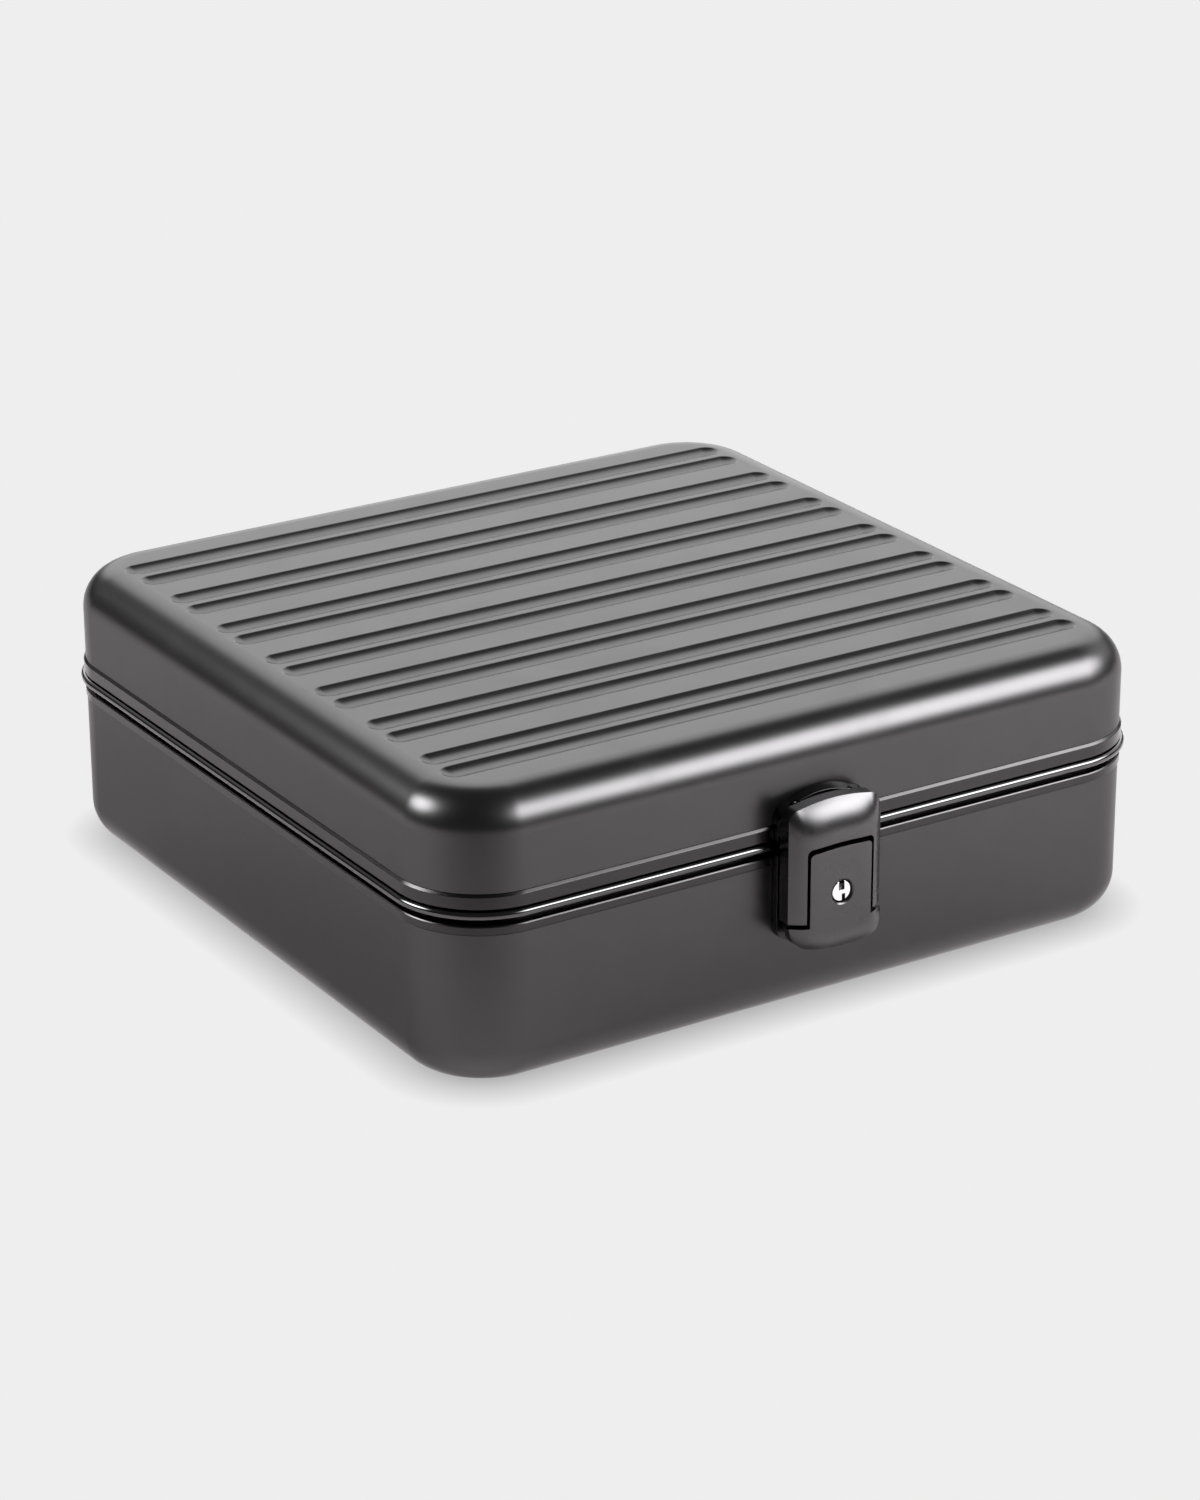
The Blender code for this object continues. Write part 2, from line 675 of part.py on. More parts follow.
def build_hasp():
    """Hasp shaped like an upturned U, which draws the lid down."""
    hasp = section_loft("latch_hasp", LATCH_HALF_WIDTH, HASP_CORNER, hasp_section)
    front = LATCH_CROWN + CUT_MARGIN
    low = HASP_ARM_END - CUT_MARGIN
    carve(hasp, front_box(-WINDOW_HALF_WIDTH, WINDOW_HALF_WIDTH, 0, front, low, WINDOW_TOP))
    pocket = HASP_POCKET_HALF_WIDTH
    carve(hasp, front_box(-pocket, pocket, 0, HASP_POCKET_FRONT, WINDOW_TOP - LEVER_WALL, HASP_POCKET_TOP))
    axis_point = front_point(0, LATCH_PIVOT_PROUD, HASP_PIVOT_Z)
    carve(hasp, round_cutter(axis_point, AXIS_X, LATCH_HOLE, -HASP_HOLE_END, HASP_HOLE_END))


def plate_section(x):
    """Section of the base's latch plate at x, relieved behind where it passes the rim."""
    low = PLATE_BOTTOM + outline_sag(x, PLATE_ARC_DROP, PLATE_HALF_WIDTH, PLATE_CORNER)
    relief_z = BASE_RIM_BOTTOM - GAP
    return [
        (GAP, low),
        (PLATE_FACE, low),
        (PLATE_FACE, PLATE_TOP),
        (PLATE_RELIEF, PLATE_TOP),
        (PLATE_RELIEF, relief_z),
        (GAP, relief_z),
    ]


def keeper_section(x):
    """Section of the lid's keeper plate at x: a sloping head, and relief where it passes the rim."""
    top = KEEPER_TOP - outline_sag(x, KEEPER_ARC_DROP, PLATE_HALF_WIDTH, PLATE_CORNER)
    relief_z = LID_RIM_TOP + GAP
    return [
        (KEEPER_RELIEF, KEEPER_BOTTOM),
        (PLATE_FACE, KEEPER_BOTTOM),
        (PLATE_FACE, top - KEEPER_SLOPE),
        (GAP, top),
        (GAP, relief_z),
        (KEEPER_RELIEF, relief_z),
    ]


def ear_profile():
    """Outline of a pivot ear on the latch plate."""
    center = (LATCH_PIVOT_PROUD, LEVER_PIVOT_Z)
    root = PLATE_FACE - GAP
    outline = arc(center, EAR_RADIUS, EAR_ARC_START, EAR_ARC_END, EAR_STEPS)
    outline += [(root, PLATE_TOP - EAR_RADIUS / 2), (root, BASE_RIM_BOTTOM)]
    return outline


def build_latch_plates():
    """Latch plate with pivot ears on the base, keeper plate on the lid, and their rivets."""
    plate = section_loft("latch_plate", PLATE_HALF_WIDTH, PLATE_CORNER, plate_section)
    for x_low, x_high in ((EAR_INNER, EAR_OUTER), (-EAR_OUTER, -EAR_INNER)):
        rings = [[front_point(x, proud, z) for proud, z in ear_profile()] for x in (x_low, x_high)]
        carve(plate, loft_object("ear", rings), "UNION")
    axis_point = front_point(0, LATCH_PIVOT_PROUD, LEVER_PIVOT_Z)
    carve(plate, round_cutter(axis_point, AXIS_X, LATCH_HOLE, -LEVER_HALF_WIDTH, LEVER_HALF_WIDTH))
    places = rivet_places(PLATE_RIVET_Z, (-PLATE_RIVET_X, PLATE_RIVET_X))
    drill(plate, places, front_point)
    rivet_row("latch_plate_rivet", places, front_point, PLATE_FACE)

    keeper = section_loft("keeper_plate", PLATE_HALF_WIDTH, PLATE_CORNER, keeper_section)
    catch = CATCH_HALF_WIDTH
    carve(keeper, front_box(-catch, catch, CATCH_FLOOR, LATCH_CROWN, CATCH_LOW, CATCH_HIGH))
    places = rivet_places([KEEPER_RIVET_Z], (-KEEPER_RIVET_X, KEEPER_RIVET_X))
    drill(keeper, places, front_point)
    sink = PLATE_FACE - KEEPER_SINK
    for x, z in places:
        carve(keeper, round_cutter(front_point(x, 0, z), -AXIS_Y, COUNTERSINK + GAP, sink, LATCH_CROWN))
    rivet_row("keeper_rivet", places, front_point, sink - GAP / 2)


def build_latch_pins():
    """Pin the lever turns on, and the two stub pins the hasp turns on."""
    axis_point = front_point(0, LATCH_PIVOT_PROUD, LEVER_PIVOT_Z)
    span = [(LATCH_PIN, -LATCH_PIN_HALF_LENGTH), (LATCH_PIN, LATCH_PIN_HALF_LENGTH)]
    loft_object("lever_pivot_pin", turned_rings(span, axis_point, AXIS_X, PIN_STEPS), "pin_steel")
    stub = [(LATCH_PIN, HASP_PIN_START), (LATCH_PIN, HASP_PIN_END)]
    axis_point = front_point(0, LATCH_PIVOT_PROUD, HASP_PIVOT_Z)
    for side, axis in (("right", AXIS_X), ("left", -AXIS_X)):
        rings = turned_rings(stub, axis_point, axis, PIN_STEPS)
        loft_object(f"hasp_pivot_pin_{side}", rings, "pin_steel")


def build_lock():
    """Key lock: a fixed bezel, the flanged plug that turns in it and the cam on the plug's tail."""
    origin = front_point(0, 0, LOCK_Z)
    outward = -AXIS_Y
    bezel_profile = [
        (BEZEL_OUTER, BEZEL_BACK),
        (BEZEL_OUTER, BEZEL_FACE - BEZEL_EDGE),
        (BEZEL_OUTER - BEZEL_EDGE, BEZEL_FACE),
        (BEZEL_INNER, BEZEL_FACE),
        (BEZEL_INNER, BEZEL_BACK),
    ]
    loft_object("lock_bezel", turned_rings(bezel_profile, origin, outward), "lock_chrome", closed=True)
    plug_profile = [
        (PLUG_FLANGE_RADIUS, PLUG_FACE),
        (PLUG_FLANGE_RADIUS, PLUG_FLANGE_BACK),
        (PLUG_RADIUS, PLUG_FLANGE_BACK),
        (PLUG_RADIUS, PLUG_BACK),
        (PLUG_TAIL_RADIUS, PLUG_BACK),
        (PLUG_TAIL_RADIUS, PLUG_TAIL_END),
    ]
    plug = loft_object("lock_plug", turned_rings(plug_profile, origin, outward), "lock_chrome")
    front = LATCH_CROWN + CUT_MARGIN
    low = LOCK_Z + KEYWAY_START
    high = LOCK_Z + KEYWAY_REACH
    carve(plug, front_box(-KEYWAY_HALF_WIDTH, KEYWAY_HALF_WIDTH, KEYWAY_FLOOR, front, low, high))
    low = LOCK_Z - KEYWAY_REACH
    high = LOCK_Z - WARD_START
    carve(plug, front_box(WARD_LEFT, WARD_RIGHT, KEYWAY_FLOOR, front, low, high))
    cam_low = LOCK_Z - CAM_REACH
    cam_high = LOCK_Z + CAM_TAIL
    cam = front_box(-CAM_HALF_WIDTH, CAM_HALF_WIDTH, CAM_BACK, CAM_FRONT, cam_low, cam_high)
    cam.name = "lock_cam"
    cam.data.materials.append(finish_material("lock_cam", "pin_steel"))
    carve(cam, round_cutter(origin, outward, CAM_HOLE, 0, PLUG_BACK))


def knuckle(x_low, x_high):
    """A hinge barrel between two X positions."""
    center = back_point(0, HINGE_PROUD, HINGE_Z)
    rings = turned_rings([(KNUCKLE_RADIUS, x_low), (KNUCKLE_RADIUS, x_high)], center, AXIS_X)
    return loft_object("knuckle", rings)


def base_leaf_profile():
    """Base hinge leaf: flat on the wall, cranked out past the bead to the barrel."""
    clear = SEAL_PROUD + 2 * GAP
    return [
        (GAP, LEAF_FOOT),
        (BASE_LEAF_FACE, LEAF_FOOT),
        (BASE_LEAF_FACE, BASE_RIM_TOP - GAP),
        (HINGE_PROUD, HINGE_Z - KNUCKLE_TANGENT),
        (HINGE_PROUD - KNUCKLE_RADIUS / 2, HINGE_Z - KNUCKLE_ROOT),
        (clear, SEAL_BOTTOM + GAP),
        (PLATE_RELIEF, BASE_RIM_TOP + GAP),
        (PLATE_RELIEF, BASE_RIM_BOTTOM - GAP),
        (GAP, BASE_RIM_BOTTOM - GAP),
    ]


def lid_leaf_profile():
    """Lid hinge leaf: flat on the wall, stepped over the lid rim and out to the barrel."""
    return [
        (GAP, LEAF_HEAD),
        (GAP, LID_RIM_TOP + GAP),
        (KEEPER_RELIEF, LID_RIM_TOP + GAP),
        (KEEPER_RELIEF, HINGE_Z + KNUCKLE_RADIUS),
        (HINGE_PROUD - KNUCKLE_ROOT, HINGE_Z + KNUCKLE_RADIUS / 2),
        (HINGE_PROUD, HINGE_Z + KNUCKLE_TANGENT),
        (LID_LEAF_FACE, LID_RIM_TOP),
        (LID_LEAF_FACE, LEAF_HEAD),
    ]


def leaf(name, profile, x_low, x_high):
    """A hinge leaf: its (proud, z) profile extruded along X."""
    rings = [[back_point(x, proud, z) for proud, z in profile] for x in (x_low, x_high)]
    return loft_object(name, rings, "hinge_black")


def notch(x_low, x_high, z_low, z_high):
    """A cut through a hinge leaf where the other leaf's barrel turns."""
    far = HALF_DEPTH + HINGE_PROUD + KNUCKLE_RADIUS + CUT_MARGIN
    return box_cutter((x_low, HALF_DEPTH, z_low), (x_high, far, z_high))


def build_hinge(side, x_center):
    """One butt hinge: base leaf with two knuckles, lid leaf with one, and the pin."""
    half = HINGE_HALF_WIDTH
    left = x_center - half
    right = x_center + half
    inner = KNUCKLE_HALF + KNUCKLE_GAP
    outer = KNUCKLE_HALF - KNUCKLE_GAP
    center = back_point(x_center, HINGE_PROUD, HINGE_Z)
    bore = (center, AXIS_X, HINGE_HOLE, -half - CUT_MARGIN, half + CUT_MARGIN)

    base_leaf = leaf(f"hinge_{side}_base_leaf", base_leaf_profile(), left, right)
    carve(base_leaf, notch(x_center - inner, x_center + inner, LEAF_NOTCH_LOW, LEAF_NOTCH_HIGH))
    carve(base_leaf, knuckle(left, x_center - inner), "UNION")
    carve(base_leaf, knuckle(x_center + inner, right), "UNION")
    carve(base_leaf, round_cutter(*bore))

    lid_leaf = leaf(f"hinge_{side}_lid_leaf", lid_leaf_profile(), left, right)
    low = HINGE_Z - KNUCKLE_RADIUS - CUT_MARGIN
    carve(lid_leaf, notch(left - CUT_MARGIN, x_center - outer, low, LEAF_NOTCH_HIGH))
    carve(lid_leaf, notch(x_center + outer, right + CUT_MARGIN, low, LEAF_NOTCH_HIGH))
    carve(lid_leaf, knuckle(x_center - outer, x_center + outer), "UNION")
    carve(lid_leaf, round_cutter(*bore))

    offsets = (x_center - LEAF_RIVET_X, x_center + LEAF_RIVET_X)
    drill(base_leaf, rivet_places([BASE_LEAF_RIVET_Z], offsets), back_point)
    drill(lid_leaf, rivet_places([LID_LEAF_RIVET_Z], offsets), back_point)

    end = HINGE_PIN_HALF_LENGTH
    pin_profile = [
        (HINGE_PIN_HEAD, -end - HINGE_HEAD_LENGTH),
        (HINGE_PIN_HEAD, -end),
        (HINGE_PIN, -end),
        (HINGE_PIN, end),
        (HINGE_PIN_HEAD, end),
        (HINGE_PIN_HEAD, end + HINGE_HEAD_LENGTH),
    ]
    loft_object(f"hinge_{side}_pin", turned_rings(pin_profile, center, AXIS_X, PIN_STEPS), "pin_steel")


def build_hinges():
    """Both hinges and the rivets through their leaves."""
    build_hinge("left", -HINGE_X)
    build_hinge("right", HINGE_X)
    base_places = rivet_places([BASE_LEAF_RIVET_Z], hinge_rivet_x())
    lid_places = rivet_places([LID_LEAF_RIVET_Z], hinge_rivet_x())
    rivet_row("hinge_base_rivet", base_places, back_point, BASE_LEAF_FACE)
    rivet_row("hinge_lid_rivet", lid_places, back_point, LID_LEAF_FACE)


def hang(pivot_name, location, names, parent=None):
    """Parent moving pieces to an empty on their joint's axis, without moving them."""
    pivot = bpy.data.objects.new(pivot_name, None)
    pivot.matrix_world = Matrix.Translation(location)
    bpy.context.collection.objects.link(pivot)
    children = [bpy.data.objects[name] for name in names]
    bpy.context.view_layer.update()
    for child in children:
        child.parent = pivot
        child.matrix_parent_inverse = pivot.matrix_world.inverted()
    if parent:
        pivot.parent = parent
        pivot.matrix_parent_inverse = parent.matrix_world.inverted()
    return pivot


def hang_moving_pieces():
    """Put the lid, lever, hasp and lock plug on their joint axes."""
    lid_names = [
        "lid_shell", "lid_rim", "lid_liner", "mirror_frame", "mirror_glass",
        "keeper_plate", "hinge_left_lid_leaf", "hinge_right_lid_leaf",
    ]
    riveted = ("keeper_rivet", "hinge_lid_rivet")
    lid_names += [item.name for item in bpy.data.objects if item.name.startswith(riveted)]
    hang("lid_axis", back_point(0, HINGE_PROUD, HINGE_Z), lid_names)
    lever_names = ["latch_lever", "lock_bezel", "hasp_pivot_pin_left", "hasp_pivot_pin_right"]
    lever_axis = hang("lever_axis", front_point(0, LATCH_PIVOT_PROUD, LEVER_PIVOT_Z), lever_names)
    hang("hasp_axis", front_point(0, LATCH_PIVOT_PROUD, HASP_PIVOT_Z), ["latch_hasp"], lever_axis)
    hang("lock_axis", front_point(0, PLUG_FACE, LOCK_Z), ["lock_plug", "lock_cam"], lever_axis)


def shade_round_pieces():
    """Shade every piece smooth across its shallow edges."""
    for item in bpy.data.objects:
        if item.type == "MESH":
            item.data.shade_smooth()
            item.data.set_sharp_from_angle(angle=SHARP_ANGLE)


def main():
    """Build the whole case."""
    clear_scene()
    build_base()
    build_lid()
    build_latch_plates()
    build_lever()
    build_hasp()
    build_latch_pins()
    build_lock()
    build_hinges()
    hang_moving_pieces()
    shade_round_pieces()


main()
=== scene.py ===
"""Studio scene of a lockable vanity case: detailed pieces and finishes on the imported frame.

Units are metres, +Z is up. The latch is on the -Y front and the hinges are on the +Y back.
"Inset" is a distance into the case's nominal wall, "proud" a distance out of it.
"""
import logging
import math
from dataclasses import dataclass, field
from enum import Enum
from typing import Callable, Iterable, Sequence

import bmesh
import bpy
from mathutils import Matrix, Vector


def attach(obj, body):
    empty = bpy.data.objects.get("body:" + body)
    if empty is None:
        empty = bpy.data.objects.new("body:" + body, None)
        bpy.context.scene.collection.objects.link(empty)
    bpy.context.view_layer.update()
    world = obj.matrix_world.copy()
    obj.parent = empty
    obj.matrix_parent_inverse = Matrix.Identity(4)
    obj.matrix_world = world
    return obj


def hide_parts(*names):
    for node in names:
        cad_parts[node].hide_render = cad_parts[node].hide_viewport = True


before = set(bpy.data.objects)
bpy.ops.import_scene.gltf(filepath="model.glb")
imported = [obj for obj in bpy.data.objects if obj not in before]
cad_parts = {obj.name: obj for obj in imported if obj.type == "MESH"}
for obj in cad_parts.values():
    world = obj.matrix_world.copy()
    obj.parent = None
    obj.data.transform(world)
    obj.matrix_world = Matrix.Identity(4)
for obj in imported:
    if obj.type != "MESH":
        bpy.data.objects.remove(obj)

LOG = logging.getLogger("vanity_case")
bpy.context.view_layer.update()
RING_STEP = 0.02
MERGE = 1e-6
WELD_MERGE = 2e-6

Point = tuple[float, float]
Corner = tuple[float, float, float]
Loop = list[bmesh.types.BMEdge]


class Body(str, Enum):
    """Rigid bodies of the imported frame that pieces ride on."""

    BASE = "base"
    LID = "lid"
    LEVER = "latch_lever"
    HASP = "latch_hasp"
    PLUG = "lock_plug"


class Slot(str, Enum):
    """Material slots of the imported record."""

    SHELL = "shell"
    RIM = "rim"
    SEAL = "seal"
    LATCH = "latch"
    LOCK = "lock"
    FASTENER = "fastener"
    HINGE = "hinge"
    LINER = "liner"
    PAD = "pad"
    MIRROR_FRAME = "mirror_frame"
    MIRROR = "mirror"


class Join(str, Enum):
    """How a second workpiece changes the first."""

    CUT = "DIFFERENCE"
    WELD = "UNION"


@dataclass(frozen=True)
class CaseSize:
    """Sizes of the closed case, and how proud a plate on its wall has to be to clear its rims."""

    half_width: float = 0.135
    half_depth: float = 0.133
    height: float = 0.098
    corner: float = 0.029
    fillet: float = 0.0135
    sheet: float = 0.0015
    gap: float = 0.0003
    base_mouth: float = 0.0531
    lid_mouth: float = 0.0670
    flange_clear: float = 0.0008
    band_clear: float = 0.00105
    corner_steps: int = 16
    fillet_steps: int = 12

    def front(self, x: float, proud: float, z: float) -> Vector:
        """A point of the latch side."""
        return Vector((x, -self.half_depth - proud, z))

    def back(self, x: float, proud: float, z: float) -> Vector:
        """A point of the hinge side."""
        return Vector((x, self.half_depth + proud, z))


CASE = CaseSize()


def arc(center: Point, radius: float, start: float, end: float, steps: int) -> list[Point]:
    """Points of an arc in a plane.

    Args:
        center: Middle of the arc.
        radius: Radius of the arc.
        start: First angle in degrees.
        end: Last angle in degrees.
        steps: Number of chords.

    Returns:
        The points in order.
    """
    angles = [math.radians(start + (end - start) * step / steps) for step in range(steps + 1)]
    return [(center[0] + radius * math.cos(a), center[1] + radius * math.sin(a)) for a in angles]


def eased(corners: Sequence[Corner], steps: int = 3, closed: bool = True) -> list[Point]:
    """Round the corners of a plane outline.

    Args:
        corners: Each corner's two coordinates and its radius.
        steps: Chords in each rounded corner.
        closed: Whether the last corner joins the first.

    Returns:
        The outline's points in order.
    """
    points: list[Point] = []
    last = len(corners) - 1
    for i, (across, along, radius) in enumerate(corners):
        if radius == 0 or (not closed and i in (0, last)):
            points.append((across, along))
            continue
        here = Vector((across, along))
        before = (Vector(corners[i - 1][:2]) - here).normalized()
        after = (Vector(corners[(i + 1) % len(corners)][:2]) - here).normalized()
        half = before.angle(after) / 2
        reach = radius / math.tan(half)
        center = here + (before + after).normalized() * radius / math.sin(half)
        start = here + before * reach - center
        end = here + after * reach - center
        for step in range(steps + 1):
            points.append(tuple(center + start.slerp(end, step / steps) * radius))
    return points


class Workpiece:
    """A mesh that is being shaped with bmesh operators."""

    def __init__(self) -> None:
        """Start with nothing on the bench."""
        self.bm = bmesh.new()

    def ring(
        self, half_x: float, half_y: float, corner: float, z: float, steps: int, y: float = 0.0,
    ) -> Loop:
        """A flat rounded rectangle, slot or circle.

        Args:
            half_x: Half size along X.
            half_y: Half size along Y.
            corner: Corner radius.
            z: Height of the ring.
            steps: Edges in each corner.
            y: Middle of the ring along Y.

        Returns:
            The ring's edges.
        """
        half_step = math.pi / (4 * steps)
        turn = Matrix.Translation((0, 0, z)) @ Matrix.Rotation(half_step, 4, "Z")
        radius = corner / math.cos(half_step)
        made = bmesh.ops.create_circle(self.bm, radius=radius, segments=4 * steps, matrix=turn)["verts"]
        for vert in made:
            vert.co.x += math.copysign(half_x - corner, vert.co.x)
            vert.co.y += math.copysign(half_y - corner, vert.co.y) + y
        # A dict keeps the edges in order, so that a flat end is filled alike in every run.
        return list(dict.fromkeys(edge for vert in made for edge in vert.link_edges))

    def case_ring(self, inset: float, z: float) -> Loop:
        """A ring that follows the case's wall at a distance into it."""
        halves = (CASE.half_width - inset, CASE.half_depth - inset)
        return self.ring(*halves, CASE.corner - inset, z, CASE.corner_steps)

    def section(self, points: Iterable[Vector]) -> Loop:
        """A closed loop through points.

        Args:
            points: Corners of the section in order.

        Returns:
            The loop's edges.
        """
        verts = [self.bm.verts.new(point) for point in points]
        return [self.bm.edges.new((verts[i - 1], verts[i])) for i in range(len(verts))]

    def skin(
        self, loops: Sequence[Loop], closed: bool = False, caps: bool = True, level: bool = False,
    ) -> None:
        """Bridge a row of loops.

        Args:
            loops: Loops with equal counts, in order.
            closed: Whether the last loop joins the first.
            caps: Whether an open row gets flat ends.
            level: Whether the loops are level rings. These are set apart while they are bridged,
                because rings that lie in one plane would be joined crosswise.
        """
        heights = {}
        if level:
            for step, loop in enumerate(loops):
                for vert in {vert for edge in loop for vert in edge.verts}:
                    heights[vert] = vert.co.z
                    vert.co.z = step * RING_STEP
        pairs = list(zip(loops, loops[1:]))
        if closed:
            pairs.append((loops[-1], loops[0]))
        for lower, upper in pairs:
            bmesh.ops.bridge_loops(self.bm, edges=[*lower, *upper])
        for vert, z in heights.items():
            vert.co.z = z
        if caps and not closed:
            self.cap(loops[0])
            self.cap(loops[-1])

    def cap(self, loop: Loop) -> None:
        """Close one loop with a flat face."""
        bmesh.ops.edgeloop_fill(self.bm, edges=loop)

    def block(self, low: Sequence[float], high: Sequence[float]) -> "Workpiece":
        """Add a box.

        Args:
            low: Its lowest corner.
            high: Its highest corner.

        Returns:
            This workpiece.
        """
        size = Vector(high) - Vector(low)
        middle = (Vector(high) + Vector(low)) / 2
        place = Matrix.Translation(middle) @ Matrix.Diagonal((*size, 1))
        bmesh.ops.create_cube(self.bm, size=1, matrix=place)
        return self

    def turned(
        self, profile: Sequence[Point], origin: Vector, axis: Vector, steps: int = 24,
    ) -> "Workpiece":
        """Spin a profile into a turned piece.

        Args:
            profile: Radius and distance along the axis of each point.
            origin: A point on the axis.
            axis: Direction of the axis.
            steps: Facets round the piece.

        Returns:
            This workpiece.
        """
        side = axis.orthogonal().normalized()
        verts = [self.bm.verts.new(origin + side * radius + axis * along) for radius, along in profile]
        edges = [self.bm.edges.new(pair) for pair in zip(verts, verts[1:])]
        bmesh.ops.spin(
            self.bm, geom=[*verts, *edges], cent=origin, axis=axis,
            angle=2 * math.pi, steps=steps, use_merge=True,
        )
        bmesh.ops.remove_doubles(self.bm, verts=self.bm.verts, dist=MERGE)
        return self

    def rest_object(self, name: str) -> bpy.types.Object:
        """Put the mesh into a new object, with its faces turned outwards.

        Args:
            name: Name of the object and its mesh.

        Returns:
            The object.
        """
        bmesh.ops.recalc_face_normals(self.bm, faces=self.bm.faces)
        closed = all(edge.is_manifold for edge in self.bm.edges)
        if closed and self.bm.calc_volume(signed=True) < 0:
            bmesh.ops.reverse_faces(self.bm, faces=self.bm.faces)
        mesh = bpy.data.meshes.new(name)
        self.bm.to_mesh(mesh)
        item = bpy.data.objects.new(name, mesh)
        bpy.context.scene.collection.objects.link(item)
        return item

    def join(self, tool: "Workpiece", how: Join) -> "Workpiece":
        """Cut this workpiece with another, or weld the other to it.

        Args:
            tool: The other workpiece.
            how: Whether it cuts or is welded on.

        Returns:
            This workpiece.
        """
        stock = self.rest_object("stock")
        cutter = tool.rest_object("cutter")
        modifier = stock.modifiers.new("join", "BOOLEAN")
        modifier.operation = how.value
        modifier.solver = "EXACT"
        modifier.object = cutter
        result = stock.evaluated_get(bpy.context.evaluated_depsgraph_get()).to_mesh()
        self.bm.clear()
        self.bm.from_mesh(result)
        bmesh.ops.remove_doubles(self.bm, verts=self.bm.verts, dist=WELD_MERGE)
        for item in (stock, cutter):
            mesh = item.data
            bpy.data.objects.remove(item)
            bpy.data.meshes.remove(mesh)
        return self

    def soften(
        self, width: float, segments: int = 3, angle: float = 28.0,
        where: Callable[[Vector], bool] = lambda place: True,
    ) -> "Workpiece":
        """Bevel every edge that turns more than an angle.

        Args:
            width: Width of the bevel.
            segments: Facets across it.
            angle: Least turn in degrees of an edge that is bevelled.
            where: Tells whether an edge's end lies where edges are bevelled.

        Returns:
            This workpiece.
        """
        least = math.radians(angle)
        sharp = [
            edge for edge in self.bm.edges
            if len(edge.link_faces) == 2 and edge.calc_face_angle() > least
            and all(where(vert.co) for vert in edge.verts)
        ]
        bmesh.ops.bevel(
            self.bm, geom=sharp, offset=width, offset_type="OFFSET", segments=segments,
            profile=0.5, affect="EDGES", clamp_overlap=True, material=-1,
        )
        return self


class Effects:
    """Node groups that several finishes share, each built once."""

    CLOUD_SCALE = 0.02
    YARN_FUZZ = 0.5

    @staticmethod
    def group(
        name: str, inputs: Sequence[tuple[str, str]], outputs: Sequence[str],
    ) -> tuple[bpy.types.NodeTree, bool]:
        """Find or start a shader node group.

        Args:
            name: Name of the group.
            inputs: Name and socket type of each input.
            outputs: Name of each value it puts out.

        Returns:
            The tree, and whether it is new and still empty.
        """
        tree = bpy.data.node_groups.get(name)
        if tree:
            return tree, False
        tree = bpy.data.node_groups.new(name, "ShaderNodeTree")
        for label, kind in inputs:
            tree.interface.new_socket(label, in_out="INPUT", socket_type=kind)
        for label in outputs:
            tree.interface.new_socket(label, in_out="OUTPUT", socket_type="NodeSocketFloat")
        return tree, True

    @staticmethod
    def grain() -> bpy.types.NodeTree:
        """Blasted or moulded grain: a fine height and a slow change of tone.

        Returns:
            The node group.
        """
        inputs = (("Vector", "NodeSocketVector"), ("Scale", "NodeSocketFloat"))
        tree, new = Effects.group("fine_grain", inputs, ("Height", "Tone"))
        if new:
            sheet = NodeSheet(tree)
            given = sheet.add("NodeGroupInput").outputs
            fine = sheet.add("ShaderNodeTexNoise", {"Vector": given[0], "Scale": given[1], "Detail": 2.0})
            slow = sheet.math("MULTIPLY", given[1], Effects.CLOUD_SCALE)
            cloud = sheet.add("ShaderNodeTexNoise", {"Vector": given[0], "Scale": slow, "Detail": 4.0})
            sheet.add("NodeGroupOutput", {0: fine.outputs[0], 1: cloud.outputs[0]})
        return tree

    @staticmethod
    def marks() -> bpy.types.NodeTree:
        """Faint marks of handling: a soft mask of cloudy patches.

        Returns:
            The node group.
        """
        inputs = (("Vector", "NodeSocketVector"), ("Scale", "NodeSocketFloat"))
        tree, new = Effects.group("handling_marks", inputs, ("Mask",))
        if new:
            sheet = NodeSheet(tree)
            given = sheet.add("NodeGroupInput").outputs
            values = {"Vector": given[0], "Scale": given[1], "Detail": 5.0, "Distortion": 0.7}
            cloud = sheet.add("ShaderNodeTexNoise", values)
            mask = sheet.add("ShaderNodeMapRange", {0: cloud.outputs[0], 1: 0.45, 2: 0.75})
            sheet.add("NodeGroupOutput", {0: mask.outputs[0]})
        return tree

    @staticmethod
    def weave() -> bpy.types.NodeTree:
        """Plain weave: the height of crossing yarns and their uneven tone.

        Returns:
            The node group.
        """
        inputs = (("Vector", "NodeSocketVector"), ("Yarns", "NodeSocketFloat"))
        tree, new = Effects.group("plain_weave", inputs, ("Height", "Tone"))
        if new:
            sheet = NodeSheet(tree)
            given = sheet.add("NodeGroupInput").outputs
            parts = sheet.add("ShaderNodeSeparateXYZ", {0: given[0]}).outputs
            waves = []
            for axis in (0, 1):
                turns = sheet.math("MULTIPLY", sheet.math("MULTIPLY", parts[axis], given[1]), math.pi)
                waves.append(sheet.math("SINE", turns))
            crossing = sheet.math("ABSOLUTE", sheet.math("MULTIPLY", waves[0], waves[1]))
            noise = sheet.add("ShaderNodeTexNoise", {"Vector": given[0], "Scale": given[1], "Detail": 3.0})
            fuzz = sheet.math("MULTIPLY", noise.outputs[0], Effects.YARN_FUZZ)
            height = sheet.math("ADD", crossing, fuzz)
            sheet.add("NodeGroupOutput", {0: height, 1: noise.outputs[0]})
        return tree


